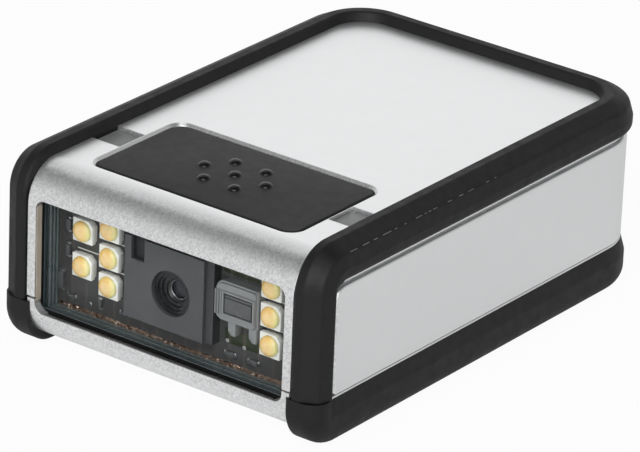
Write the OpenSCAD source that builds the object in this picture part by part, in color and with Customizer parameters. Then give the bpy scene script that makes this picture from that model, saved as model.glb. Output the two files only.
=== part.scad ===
// Hands-free barcode scanner: a small two-part silver housing with rubber bumpers round its
// edges, a window at the front with a camera and eight lamps behind it, a trigger pad and a
// status light bar on top, and a modular cable socket at the rear.
// Millimetres. +Z is up, the window faces -Y, and the origin is the middle of the underside.
// Inside the modules Y is counted backwards from the silver front face.

/* [Body] */
// Width over the rubber bumpers
body_w = 50; // [48:0.5:56]
// Length over the rubber bumpers
body_l = 71.8; // [70:0.2:84]
// Height over the rubber bumpers
body_h = 26.2; // [25.8:0.1:30]
// Plan radius of the two rear corners, over the bumper
rear_corner_r = 9; // [8:0.1:11]
// Thickness of the top of the upper housing
top_wall = 2.1; // [1.9:0.1:2.4]
// Thickness of the side and rear walls behind the bumpers
side_wall = 1.8; // [1.4:0.1:2.2]
// Thickness of the floor of the lower housing
floor_wall = 1.6; // [1.3:0.1:1.8]
// Height of the seam between the two housings at the front
seam_z = 7.2; // [7:0.1:7.6]
// Width of the dark line left open at the seam
seam_gap = 0.25; // [0.1:0.05:0.3]
// Height of the lower housing's tongue inside the seam
tongue_h = 1; // [0.6:0.1:1.4]
// Radius of the silver front's upper edge
front_top_r = 5; // [4:0.1:6]
// Radius of the silver front's lower edge
front_bottom_r = 5; // [4.4:0.1:5.4]
// Gap between the silver underside and the surface it stands over
underside_gap = 1.1; // [0.9:0.05:1.3]

/* [Bumpers] */
// Reach of the bumper outside the top panel's edge
bumper_reach = 4.3; // [3.8:0.1:4.6]
// Height of the bumper's rim above the top panel
rim_h = 1.35; // [0.8:0.05:1.8]
// Width of the flat on the rim
rim_w = 1.5; // [1.2:0.05:1.9]
// How far the rim's inner wall leans outwards
rim_lean = 0.3; // [0.1:0.05:0.5]
// Drop of the slope from the rim to the crease
slope_drop = 0.95; // [0.7:0.05:1.2]
// How far the crease lies inside the bulge
crease_in = 0.8; // [0.4:0.05:0.9]
// Reach of the front posts in front of the silver face
post_proud = 0.3; // [0.1:0.05:0.6]
// Depth of the front posts
post_depth = 3.1; // [2.9:0.1:3.6]
// Height of the upper bumper's side band
upper_band_h = 4.4; // [4:0.1:5]
// Height of the lower bumper's side band
lower_band_h = 6.4; // [6:0.1:6.5]
// Thickness of the lower housing's ledge over that band
ledge_t = 0.25; // [0.2:0.05:0.4]
// Height of the slope along the top of that band
lower_slope_h = 2.1; // [1.4:0.1:2.4]
// Radius of the lower bumper's outer edge at the foot
foot_r = 2.4; // [1.6:0.1:2.4]
// Radius of the upper bumper's front corner, seen from the side
upper_front_r = 5.35; // [5:0.05:6]
// Radius of the lower bumper's front corner, seen from the side
lower_front_r = 5; // [4.6:0.1:5.2]
// How far the lower bumper's inner edge stands inside the upper one's
lower_inset = 0.5; // [0.2:0.05:0.8]
// Thickness of rubber behind the bulge, into the housing's rebate
rubber_t = 1.9; // [1.5:0.1:2.2]
// Depth of rubber at the rim, down to the housing's shoulder
shoulder_depth = 2.75; // [2.4:0.05:3.2]
// Depth of rubber at the foot, up to the housing's shoulder
foot_depth = 2.4; // [2.2:0.05:2.7]

/* [Side panel] */
// How far the base shell lies inside the bumper's bulge
shell_inset = 1; // [0.9:0.05:1.1]
// How far the raised side panel stands off the base shell
panel_raise = 0.4; // [0.3:0.05:0.6]
// Margin between the raised panel and the bumper
panel_margin = 1; // [0.8:0.05:1.2]
// Width of the groove round the raised panel
groove_w = 0.3; // [0.2:0.05:0.4]
// Depth of that groove
groove_depth = 0.6; // [0.3:0.05:0.7]
// Radius of the raised panel's front upper corner
panel_corner_r = 1.6; // [1.2:0.1:3]
// Radius rolled over the raised panel's edge
panel_edge_r = 0.45; // [0.2:0.05:0.5]
// Radius of the bumper opening's front upper corner
opening_r = 1; // [0.6:0.1:1.4]

/* [Window] */
// Silver width left at each side of the window
window_post = 1.25; // [1.1:0.05:2.4]
// Height of the window's lower edge
window_z = 5.45; // [5.3:0.05:5.6]
// Distance of the window's upper edge below the top panel
window_drop = 4.1; // [3.9:0.05:4.6]
// Radius of the window's upper corners
window_r = 1.2; // [0.6:0.1:2]
// Radius of the window's lower corners
window_foot_r = 1.3; // [0.8:0.1:1.5]
// Thickness of the lip under the window at its edge
lip_t = 0.35; // [0.3:0.05:0.6]
// Thickness of the silver front wall round the window
front_wall = 1.2; // [1:0.05:1.5]
// Thickness of the window gasket
gasket_t = 0.3; // [0.2:0.05:0.5]
// How far the gasket shows inside the window opening
gasket_show = 0.2; // [0.1:0.05:0.4]
// Thickness of the clear pane
pane_t = 1; // [0.8:0.1:1.5]
// Overlap of the pane behind the edge of its opening
pane_overlap = 0.45; // [0.35:0.05:0.5]
// Depth of the dark frame between the pane and the lamp board
frame_depth = 2; // [1.95:0.05:2.4]
// Wall of that frame
frame_t = 0.55; // [0.5:0.05:0.8]

/* [Lamps] */
// Thickness of the lamp board
lamp_board_t = 1; // [0.8:0.1:1.2]
// Side of a lamp package
lamp_w = 3.1; // [2.8:0.1:3.4]
// Height of a lamp package off its board
lamp_t = 1.3; // [1:0.05:1.35]
// Diameter of a lamp's dome
dome_d = 2.5; // [2:0.1:2.7]
// Height of a lamp's dome
dome_h = 0.55; // [0.4:0.05:0.6]
// Pitch of the columns of three lamps
lamp_pitch = 3.85; // [3.5:0.05:4]
// Pitch of the column of two lamps
pair_pitch = 4.8; // [3.6:0.1:5.4]
// Distance of the middle of the lamp columns below the window's upper edge
lamp_drop = 6.3; // [6.05:0.05:6.6]
// Distance of the outer left column from the middle
left_outer_x = 14.6; // [14:0.05:15.5]
// Distance of the inner left column from the middle
left_inner_x = 10.35; // [9.8:0.05:10.5]
// Distance of the right column from the middle
right_x = 14.95; // [14.9:0.05:15.5]

/* [Camera] */
// Left edge of the camera's front block, from the middle
camera_left = 7.3; // [6.6:0.1:7.8]
// Right edge of the camera's front block, from the middle
camera_right = 6.3; // [6:0.1:6.3]
// Reach of the block below the lens axis
camera_under = 5.1; // [4.8:0.1:5.4]
// Reach of the block below the pane's upper edge
camera_drop = 2.2; // [1.8:0.1:2.6]
// Distance of the lens axis below the top panel
lens_drop = 11.75; // [11.5:0.05:12.2]
// Diameter of the hole in front of the lens
lens_hole_d = 6; // [5:0.1:6.4]
// Outer diameter of the lens barrel
barrel_d = 7; // [6.6:0.1:7.4]
// Length of the lens barrel
barrel_l = 5.4; // [4.6:0.1:5.8]
// Diameter of the front lens
lens_d = 2.6; // [2:0.1:3.2]
// Length of the camera's body behind the lamp board
camera_l = 7; // [6.6:0.1:7.6]
// Width of that body
camera_w = 11.2; // [10.6:0.1:11.6]
// Reach of that body below the lens axis
camera_body_under = 4.7; // [4.3:0.1:5]
// Reach of the camera's feet below the lens axis
camera_foot_under = 6.7; // [6.2:0.1:7.2]
// Width over the camera's feet
camera_foot_w = 18.8; // [18:0.2:20]
// Length of the camera's feet
camera_foot_l = 5; // [4.4:0.1:5.4]
// Side of the image sensor
sensor_w = 6.4; // [5.6:0.1:7]
// Width of the aiming lens
aimer_w = 6.5; // [6:0.1:6.6]
// Height of the aiming lens
aimer_h = 5.7; // [5:0.1:6]
// Height of the aiming lens's middle over the lens axis
aimer_rise = 1.2; // [0.6:0.1:1.5]
// Side of the aiming lamp behind it
aimer_lamp_w = 3.2; // [2.6:0.1:3.6]

/* [Trigger] */
// Width of the trigger pad's recess
recess_w = 31.8; // [28:0.2:32.4]
// Length of the trigger pad's recess
recess_l = 17.7; // [15:0.1:18]
// Distance of the recess from the front face
recess_y = 5.9; // [5.5:0.05:6.2]
// Corner radius of the recess
recess_r = 1.9; // [1.6:0.1:3]
// Depth of the recess below the top panel
recess_depth = 1.9; // [1.7:0.05:2.1]
// Chamfer round the recess
recess_chamfer = 0.35; // [0.15:0.05:0.4]
// Thickness of the recess floor
recess_floor = 1; // [0.8:0.05:1.3]
// Clearance round the pad
pad_gap = 0.25; // [0.15:0.05:0.4]
// Depth of the pad's edge below the top panel
pad_drop = 0.3; // [0.2:0.05:0.6]
// Rise of the pad's crown over its edge
pad_crown = 0.65; // [0.4:0.05:1]
// Travel of the trigger
trigger_travel = 0.5; // [0.3:0.05:0.6]
// Diameter of the seven raised dots
dot_d = 1.7; // [1:0.1:2]
// Height of the dots above the pad
dot_h = 0.35; // [0.15:0.05:0.4]
// Sideways pitch of the dots
dot_pitch_x = 4.8; // [3.5:0.1:5.5]
// Pitch of the rows of dots
dot_pitch_y = 3.15; // [2.4:0.05:3.6]
// Diameter of the trigger's stem
stem_d = 5.2; // [4.4:0.1:5.6]
// Width of the status light bar
light_w = 4.8; // [4:0.1:5.4]
// Depth of the light bar's top below the panel
light_drop = 0.5; // [0.4:0.05:1]
// Thickness of the light bar under the trigger
light_t = 0.9; // [0.7:0.05:1]

/* [Electronics] */
// Height of the main board's underside
main_board_z = 7; // [6.8:0.1:7.4]
// Thickness of the main board
main_board_t = 1.2; // [1:0.1:1.6]
// Distance of the main board's front edge from the front face
main_board_y = 17.5; // [17:0.1:18.2]
// Side of the processor
processor_w = 10; // [8:0.5:11]
// Height of the processor
processor_h = 1.4; // [1:0.1:2]
// Side of the memory chip under the board
memory_w = 8; // [6:0.5:9]
// Height of the memory chip
memory_h = 0.8; // [0.6:0.1:0.8]
// Diameter of the beeper
beeper_d = 9; // [8:0.1:9.4]
// Height of the beeper
beeper_h = 4.6; // [3:0.1:6]
// Diameter of the beeper's sound hole
beeper_hole_d = 2; // [1:0.1:3]
// Width of the camera's flat cable
flex_w = 7; // [5:0.5:8]
// Length of the connector that takes the flat cable
flex_connector_l = 3; // [2.5:0.1:3.4]
// Width of the connector between the two boards
link_w = 3.4; // [2.6:0.1:3.6]
// Length of the connector between the two boards
link_l = 3.6; // [3:0.1:4]
// Thickness of the small board under the trigger
switch_board_t = 0.8; // [0.6:0.1:1]
// Side of the switch body
switch_w = 6.2; // [5.6:0.1:7]
// Height of the switch body
switch_h = 1.9; // [1.7:0.05:2.1]
// Height of the switch plunger above its body
plunger_h = 0.65; // [0.6:0.05:0.8]
// Width of the cable socket
jack_w = 14.6; // [14:0.1:15.4]
// Length of the cable socket
jack_l = 15.8; // [14.5:0.1:17]
// Height of the cable socket
jack_h = 11.4; // [11:0.1:11.8]
// Width of the plug's space in the socket
plug_w = 11.9; // [11.7:0.05:12.2]
// Height of the plug's space in the socket
plug_h = 6.8; // [6.6:0.05:7]
// Depth of the plug's space in the socket
plug_l = 12.5; // [11.5:0.1:13]

/* [Fasteners] */
// Distance of the front housing screws from the front face
screw_front_y = 27; // [26:0.5:32]
// Diameter of the housing screws
screw_d = 2.5; // [2:0.1:3]
// Diameter of the housing screws' heads
screw_head_d = 4.4; // [4:0.1:4.6]
// Distance between the two mounting inserts
insert_pitch = 36; // [30:0.5:40]
// Bore of the mounting inserts
insert_bore_d = 2.5; // [2:0.1:3]
// Outer diameter of the mounting inserts
insert_d = 4.2; // [3.9:0.1:4.6]
// Length of the mounting inserts
insert_l = 4; // [3:0.1:4.6]

/* [Hidden] */
$fn = 48;

silver = [0.80, 0.81, 0.82];
rubber = [0.17, 0.18, 0.18];
dark = [0.10, 0.11, 0.12];
pad_grey = [0.24, 0.24, 0.24];
board_green = [0.10, 0.20, 0.14];
board_black = [0.09, 0.10, 0.11];
amber = [0.90, 0.76, 0.42];
cream = [0.90, 0.89, 0.84];
steel = [0.62, 0.63, 0.64];
gold = [0.80, 0.62, 0.28];
clear = [0.60, 0.64, 0.68, 0.35];
smoke = [0.45, 0.46, 0.48, 0.8];

// Overshoot of a cut past the face that it opens
cut = 1;
// Clearance between pieces that slide together or sit in a pocket
slip = 0.1;
// Overlap that joins a boss or leg to the wall it stands on
weld = 0.2;
// Overshoot of a chamfer past its two faces
over = 0.1;
// Radius of the small edges moulded in rubber
soft_edge = 0.25;
// Radii of the upper bumper's ridge and crease, and of the edge rolled under its bulge
ridge_r = 0.45;
crease_r = 0.8;
roll_r = 0.8;
// Directions that the bumper's surface faces on the slope, on the bulge and at the rolled edge
slope_turn = 60;
bulge_turn = 16;
roll_turn = 60;
// Drop from the rim to the widest line of the bulge
bulge_drop = 2.9;
// Gap between the two bumpers, and between the lower housing's ledge and the raised panel
split_gap = 0.1;

// Half widths from the middle: each outline of the body keeps the rear corners concentric
half_w = body_w / 2;
panel_x = half_w - bumper_reach;
foot_x = panel_x - lower_inset;
rebate_x = half_w - rubber_t;
shell_x = half_w - shell_inset;
raised_x = shell_x + panel_raise;
cavity_x = rebate_x - side_wall;
ridge_x = panel_x + rim_lean + rim_w;
corner_x = half_w - rear_corner_r;
rear_y = body_l - post_proud;
corner_y = rear_y - rear_corner_r;
// An outline of half width x has its rear face at x + rear_shift
rear_shift = rear_y - half_w;

// Heights
panel_z = body_h - rim_h;
shoulder_z = body_h - shoulder_depth;
band_z = body_h - upper_band_h;
ceiling_z = panel_z - top_wall;
floor_z = underside_gap + floor_wall;
side_floor_z = foot_depth + floor_wall;
upper_z = seam_z + seam_gap;
split_z = lower_band_h + ledge_t;
side_z = split_z + split_gap;
tongue_z = seam_z + tongue_h;
raised_z = band_z - panel_margin;

// Centres of the bumpers' front corners, seen from the side
upper_cy = upper_front_r - post_proud;
upper_cz = body_h - upper_front_r;
lower_cy = lower_front_r - post_proud;
lower_cz = lower_front_r;
// Depths of the housing's shoulders behind the front posts
upper_shoulder_y = shoulder_depth - post_proud;
lower_shoulder_y = foot_depth - post_proud;
post_y = post_depth - post_proud;

// Window stack, from the front face backwards
window_x = panel_x - window_post;
window_top = panel_z - window_drop;
pane_x = window_x + pane_overlap;
pane_z0 = window_z - pane_overlap;
pane_z1 = window_top + pane_overlap;
lamp_mid_z = window_top - lamp_drop;
gasket_y = front_wall;
pane_y = gasket_y + gasket_t;
frame_y = pane_y + pane_t;
lamp_board_y = frame_y + frame_depth;
lamp_back_y = lamp_board_y + lamp_board_t;
cavity_y = lamp_back_y + slip;
board_rib_t = 1.2;
seat_y = lamp_back_y + board_rib_t;

// Trigger stack, from the top panel downwards
recess_x = recess_w / 2;
recess_mid_y = recess_y + recess_l / 2;
recess_z = panel_z - recess_depth;
recess_under = recess_z - recess_floor;
pad_edge_z = panel_z - pad_drop;
stop_gap = 0.05;
pad_under = recess_z + trigger_travel + stop_gap;
pad_w = recess_w - 2 * pad_gap;
pad_l = recess_l - 2 * pad_gap;
stem_gap = 0.3;
light_z = recess_under - light_t;
light_gap = 0.55;
switch_top = light_z - light_gap;
switch_board_z = switch_top - switch_h - switch_board_t;
plunger_top = switch_top + plunger_h;
plunger_r = 1.7;
hook_reach = 0.5;
hook_w = 3;
hook_t = 1;
hook_x = recess_x - 4.6;
hook_y = 5.6;
hook_h = 0.6;
slot_x = recess_x + recess_chamfer + slip;
light_in_x = slot_x + slip;
status_x = (light_in_x + panel_x) / 2;

// Camera
engine_gap = 0.4;
camera_front_y = frame_y + slip;
camera_top = pane_z1 - camera_drop;
lens_z = panel_z - lens_drop;
camera_z = lens_z - camera_under;
camera_body_z = lens_z - camera_body_under;
camera_body_top = switch_board_z - engine_gap;
camera_foot_z = lens_z - camera_foot_under;
camera_foot_y = lamp_back_y + 1.5;
camera_back_y = lamp_back_y + camera_l;
engine_post_x = camera_foot_w / 2 - 1.8;
engine_post_y = camera_foot_y + camera_foot_l / 2;
hole_depth = 0.6;
barrel_y = camera_front_y + hole_depth;
front_seat = 1.4;
rear_seat = 2.8;
front_rim = 0.15;
rear_rim = 0.55;
sensor_t = 1.1;
sensor_board_t = 0.8;
cutout_gap = 0.2;
aimer_x = camera_right + cutout_gap + aimer_w / 2;
aimer_z = lens_z + aimer_rise;
aimer_y = camera_front_y + 0.35;

// Main board and what stands on it
board_top = main_board_z + main_board_t;
boss_d = 5.4;
tray_boss_d = 7;
boss_gap = 0.3;
boss_x = cavity_x - tray_boss_d / 2 - boss_gap;
boss_rear_y = corner_y - 1.1;
board_x = boss_x - tray_boss_d / 2 - boss_gap;
jack_rear_y = cavity_x + rear_shift;
jack_y = jack_rear_y - jack_l;
board_rear_y = jack_rear_y - 2 * boss_gap;
board_post_d = 4.4;
post_x = board_x - board_post_d / 2 - slip;
post_front_y = main_board_y + 4;
post_rear_y = jack_y - 3.6;
plug_lift = 3.2;
plug_z = board_top + plug_lift;
plug_y = jack_rear_y - plug_l;
latch_w = 6.4;
latch_h = 1.6;
contact_pitch = 1.02;
contact_w = 0.4;
contact_t = 0.35;
part_gap = 1;
flex_t = 0.25;
flex_x = -2;
flex_bend_r = 0.9;
flex_tail = 3;
flex_connector_h = 1.2;
flex_z = board_top + 0.5;
connector_y = main_board_y + 1.2;
connector_x = flex_x + flex_w / 2 + part_gap;
processor_y = connector_y + flex_connector_l + part_gap + processor_w / 2;
beeper_y = jack_y - part_gap - beeper_d / 2;
link_x = connector_x + part_gap * 0.8;
link_y = main_board_y + stem_gap;

// Housing screws, from below
head_seat_z = underside_gap + 2;
head_t = 1.6;
insert_cap = 1;
screw_l = 11;
pilot_z = head_seat_z + screw_l + 1;

// Small screws that hold the camera and the main board
small_screw_d = 1.9;
small_hole_d = 2.2;
small_pilot_d = 2;
small_head_d = 3.6;
small_head_t = 1.1;
pilot_floor = 0.6;

// Points along an arc from angle a0 to a1 round c
function arc(c, r, a0, a1, n = 6) =
    [for (i = [0:n]) let (a = a0 + (a1 - a0) * i / n) [c.x + r * cos(a), c.y + r * sin(a)]];

// Section of the upper bumper: x across the body, y the height over the front corner's centre.
// The rim's flat ends in a ridge, a slope runs down to a crease, and the bulge below the crease
// rolls in again at the band's edge.
upper_section = let (v = upper_front_r, crease = [half_w - crease_in, v - slope_drop]) concat(
    [[rebate_x, v - shoulder_depth], [panel_x, v - shoulder_depth], [panel_x, v - rim_h],
     [panel_x + rim_lean, v - soft_edge], [panel_x + rim_lean + soft_edge, v]],
    arc([ridge_x - ridge_r / 2, v - ridge_r], ridge_r, 90, slope_turn, 4),
    arc(crease - crease_r * [cos(slope_turn), sin(slope_turn)], crease_r, slope_turn, bulge_turn, 5),
    [[half_w, v - bulge_drop]],
    arc([half_w - roll_r, v - upper_band_h + roll_r * sin(roll_turn)], roll_r, 0, -roll_turn, 5),
    [[rebate_x, v - upper_band_h]]
);

// Section of the lower bumper, counted downwards to the foot, which ends in a large radius
lower_section = let (v = lower_front_r) concat(
    [[rebate_x, v - foot_depth], [foot_x, v - foot_depth], [foot_x, v - soft_edge],
     [foot_x + soft_edge, v]],
    arc([half_w - foot_r, v - foot_r], foot_r, 90, 0, 10),
    [[half_w, v - lower_band_h], [rebate_x, v - lower_band_h]]
);

// The part of a section at least as high as v, for the corner and the posts
module section_above(points, v = 0) {
    intersection() {
        polygon(points);
        translate([0, v]) square(body_l);
    }
}

// Puts everything at its place over the origin
module in_place() translate([0, post_proud - body_l / 2, 0]) children();

// Both sides of the body, and both ends of an outline about the origin
module both_sides() {
    children();
    mirror([1, 0, 0]) children();
}
module both_ends() {
    children();
    mirror([0, 1, 0]) children();
}

// Extrusions of outlines drawn in YZ and in XZ
module along_x(w) rotate([90, 0, 90]) linear_extrude(w, center = true) children();
module along_y(y0, y1)
    translate([0, y1, 0]) rotate([90, 0, 0]) linear_extrude(y1 - y0) children();
module between(z0, z1)
    translate([0, 0, z0]) linear_extrude(z1 - z0) children();

// A box by its two corners
module block(a, b) translate(a) cube(b - a);

// A round bar along Y
module rod_y(x, z, y0, y1, r)
    translate([x, y0, z]) rotate([-90, 0, 0]) cylinder(h = y1 - y0, r = r);

// A rectangle with round corners about the origin
module round_rect(w, l, r) {
    square([w - 2 * r, l], center = true);
    square([w, l - 2 * r], center = true);
    for (x = [-1, 1], y = [-1, 1]) translate([x * (w / 2 - r), y * (l / 2 - r)]) circle(r);
}

// Plan outline of half width x from y0 to the rear, with its rear corners concentric
module plan(x, y0) {
    translate([-x, y0]) square([2 * x, corner_y - y0]);
    translate([-corner_x, y0]) square([2 * corner_x, x + rear_shift - y0]);
    for (s = [-1, 1]) translate([s * corner_x, corner_y]) circle(x - corner_x);
}

// Side outline whose front upper corner is an arc of radius r about cy, cz
module upper_side(cy, cz, r, z0) {
    translate([cy, cz]) circle(r);
    translate([cy - r, z0]) square([body_l, cz - z0]);
    translate([cy, z0]) square([body_l, cz + r - z0]);
}

// Side outline whose front lower corner is an arc of radius r about cy, cz
module lower_side(cy, cz, r, z1) {
    translate([cy, cz]) circle(r);
    translate([cy - r, cz]) square([body_l, z1 - cz]);
    translate([cy, cz - r]) square([body_l, z1 - cz + r]);
}

// A section swept along one side, round the rear corner and half the rear, from y0.
// way is 1 for heights counted upwards from cz and -1 downwards.
module swept_band(points, y0, cz, way) {
    both_sides() {
        along_y(y0, corner_y) polygon([for (p = points) [p.x, cz + way * p.y]]);
        translate([corner_x, corner_y, 0]) rotate_extrude(angle = 90)
            polygon([for (p = points) [p.x - corner_x, cz + way * p.y]]);
    }
    along_x(2 * corner_x) polygon([for (p = points) [p.x + rear_shift, cz + way * p.y]]);
}

// The same section turned about the X axis round the front upper corner
module front_turn(points, cy, cz)
    translate([0, cy, cz]) rotate([180, 0, 0]) rotate([0, 90, 0]) rotate_extrude(angle = 90)
        intersection() {
            polygon([for (p = points) [p.y, p.x]]);
            square(body_l);
        }

// The same section carried down the front post from z1 to z0
module front_post(points, cy, z0, z1)
    between(z0, z1) translate([0, cy]) mirror([0, 1]) section_above(points);

// The side opening between the bumpers, seen from the side
module side_opening(z0) {
    translate([post_y, z0]) square([body_l, band_z - opening_r - z0]);
    translate([post_y + opening_r, z0]) square([body_l, band_z - z0]);
    translate([post_y + opening_r, band_z - opening_r]) circle(opening_r);
}

// Round rim cut with a 45 degree chamfer c along the edge of a recess w by l
module rim_chamfer(w, l, r, c) {
    tip = [[-over, -over], [c + over, c + over], [-over, c + over]];
    both_sides() {
        translate([w / 2, l / 2 - r, 0]) rotate([90, 0, 0])
            linear_extrude(l - 2 * r) polygon(tip);
        both_ends() translate([w / 2 - r, l / 2 - r, 0])
            rotate_extrude(angle = 90) polygon([for (p = tip) [p.x + r, p.y]]);
    }
    both_ends() translate([r - w / 2, l / 2, 0]) rotate([90, 0, 90])
        linear_extrude(w - 2 * r) polygon(tip);
}

// The places of the four housing screws
module at_bosses()
    for (s = [-1, 1], y = [screw_front_y, boss_rear_y]) translate([s * boss_x, y, 0]) children();

// The places of the four main board posts
module at_posts()
    for (s = [-1, 1], y = [post_front_y, post_rear_y]) translate([s * post_x, y, 0]) children();

// The places of the two engine posts
module at_engine_posts()
    for (s = [-1, 1]) translate([s * engine_post_x, engine_post_y, 0]) children();

// The places of the two mounting inserts
module at_inserts() for (s = [-1, 1])
    translate([0, body_l / 2 - post_proud + s * insert_pitch / 2, 0]) children();

// The window opening, seen from the front, with round corners
module window_outline() {
    translate([-window_x, window_z + window_foot_r])
        square([2 * window_x, window_top - window_z - window_r - window_foot_r]);
    translate([-window_x + window_r, window_z + window_foot_r])
        square([2 * (window_x - window_r), window_top - window_z - window_foot_r]);
    translate([-window_x + window_foot_r, window_z])
        square([2 * (window_x - window_foot_r), 2 * window_foot_r]);
    for (s = [-1, 1]) {
        translate([s * (window_x - window_r), window_top - window_r]) circle(window_r);
        translate([s * (window_x - window_foot_r), window_z + window_foot_r]) circle(window_foot_r);
    }
}

// Everything of the housing outside the cavity, above the seam. Outside the rebate a skirt
// hangs down over the lower housing's wall, to where the seam runs along the sides.
module upper_body() {
    intersection() {
        between(upper_z, panel_z) plan(panel_x, 0);
        along_x(body_w) upper_side(front_top_r, panel_z - front_top_r, front_top_r, upper_z);
    }
    intersection() {
        between(upper_z, shoulder_z) plan(rebate_x, upper_shoulder_y);
        along_x(body_w) upper_side(upper_cy, upper_cz, upper_front_r - shoulder_depth, upper_z);
    }
    difference() {
        intersection() {
            between(side_z, band_z) plan(shell_x, post_y);
            along_x(body_w) side_opening(side_z);
        }
        panel_groove();
        between(side_z - cut, upper_z) plan(rebate_x + slip, 0);
    }
    difference() {
        raised_panel();
        between(side_z - cut, upper_z) plan(rebate_x + slip, 0);
        // The panel's front lower corner is round
        along_x(body_w) difference() {
            translate([post_y + panel_margin - cut, side_z - cut]) square(cut + panel_foot_r);
            translate([post_y + panel_margin + panel_foot_r, side_z + panel_foot_r])
                circle(panel_foot_r);
        }
    }
}

// Radius of the raised panel's front lower corner
panel_foot_r = 0.7;
// Centre of the raised panel's front upper corner, seen from the side
panel_cy = post_y + panel_margin + panel_corner_r;
panel_cz = raised_z - panel_corner_r;

// A section with its inner face at the rebate, swept along the raised panel's edge down to z0
module panel_edge(points, z0) {
    swept_band(points, panel_cy, panel_cz, 1);
    both_sides() {
        front_turn(points, panel_cy, panel_cz);
        front_post(points, panel_cy, z0, panel_cz);
    }
}

// The raised panel that runs along both sides and round the rear, with a rolled edge
module raised_panel() {
    r = panel_corner_r;
    edge = panel_edge_r;
    panel_edge(concat([[rebate_x, 0], [raised_x, 0]],
                      arc([raised_x - edge, r - edge], edge, 0, 90, 5), [[rebate_x, r]]), side_z);
    between(side_z, panel_cz) plan(raised_x, panel_cy);
}

// The groove between the raised panel and the strip of base shell beside the bumper
module panel_groove() {
    r = panel_corner_r + groove_w;
    x = shell_x - groove_depth;
    panel_edge([[x, 0], [half_w, 0], [half_w, r], [x, r]], side_z - cut);
}

// The cavity steps in under the ceiling, and a groove at the seam takes the lower tongue
module upper_cavity() {
    step = 1.3;
    between(upper_z - cut, ceiling_z - step) plan(cavity_x, cavity_y);
    between(upper_z - cut, ceiling_z) plan(cavity_x - step, cavity_y);
    block([-pane_x - slip, gasket_y, upper_z - cut],
          [pane_x + slip, cavity_y + cut, pane_z1 + slip]);
    between(upper_z - cut, tongue_z) difference() {
        plan(cavity_x + side_wall / 2 + slip, cavity_y);
        translate([-pane_x - slip, 0]) square([2 * (pane_x + slip), cavity_y + cut]);
    }
}

module upper_housing() color(silver) in_place() difference() {
    union() {
        difference() {
            upper_body();
            upper_cavity();
            along_y(-cut, gasket_y + cut) window_outline();
        }
        // Floor of the trigger recess
        between(recess_under, ceiling_z) translate([0, recess_mid_y])
            round_rect(recess_w + 3, recess_l + 2, recess_r);
        // Bosses that take the housing screws
        at_bosses() between(seam_z, ceiling_z) circle(d = boss_d);
        board_ribs();
        switch_board_posts();
    }
    translate([0, recess_mid_y, recess_z]) linear_extrude(recess_depth + cut)
        round_rect(recess_w, recess_l, recess_r);
    translate([0, recess_mid_y, panel_z - recess_chamfer])
        rim_chamfer(recess_w, recess_l, recess_r, recess_chamfer);
    // Slot through the top for each end of the light bar
    both_sides() block([slot_x, recess_mid_y - light_w / 2 - slip, recess_under - cut],
                       [panel_x, recess_mid_y + light_w / 2 + slip, panel_z + cut]);
    // Holes for the trigger's stem and hooks
    translate([0, recess_mid_y, recess_under - cut])
        cylinder(h = recess_floor + 2 * cut, d = stem_d + 2 * stem_gap);
    hook_places() block([-hook_w / 2 - stem_gap, -stem_gap, recess_under - cut],
                        [hook_w / 2 + stem_gap, hook_t + hook_reach + stem_gap, recess_z + cut]);
    // Threads of the housing screws
    at_bosses() between(seam_z - cut, pilot_z) circle(d = screw_d + slip);
    // Opening for the cable socket, with room for the plug's latch under it
    along_y(jack_rear_y - cut, rear_y + cut)
        translate([0, plug_z + (plug_h - latch_h) / 2]) round_rect(plug_w + 1, plug_h + latch_h + 1, 0.6);
}

// Ribs that hold the lamp board from behind, at both ends
module board_ribs() both_sides()
    block([pane_x - 1, lamp_back_y, tongue_z], [cavity_x, seat_y, camera_top]);

// Four short posts from the ceiling down to the switch board
module switch_board_posts() {
    inset = 2.2;
    both_sides() for (y = [-1, 1])
        translate([status_x - 2.6, recess_mid_y + y * (recess_l / 2 - inset), 0])
            between(switch_board_z + switch_board_t, recess_under) circle(d = 3);
}

// The places of the trigger's four hooks, each facing away from the middle
module hook_places() for (s = [-1, 1], t = [0, 1])
    translate([s * hook_x, recess_mid_y, 0]) mirror([0, t, 0])
        translate([0, hook_y - hook_t, 0]) children();

module lower_body() {
    intersection() {
        union() {
            between(underside_gap, seam_z) plan(foot_x, 0);
            between(split_z, seam_z) plan(panel_x - slip, 0);
        }
        along_x(body_w) lower_side(front_bottom_r, underside_gap + front_bottom_r,
                                   front_bottom_r, seam_z + cut);
    }
    intersection() {
        between(foot_depth, seam_z) plan(rebate_x, lower_shoulder_y);
        along_x(body_w)
            lower_side(lower_cy, lower_cz, lower_front_r - foot_depth, seam_z + cut);
    }
    // Ledge over the lower bumper, flush with the raised panel
    between(lower_band_h, split_z) plan(raised_x, post_y);
}

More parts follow.
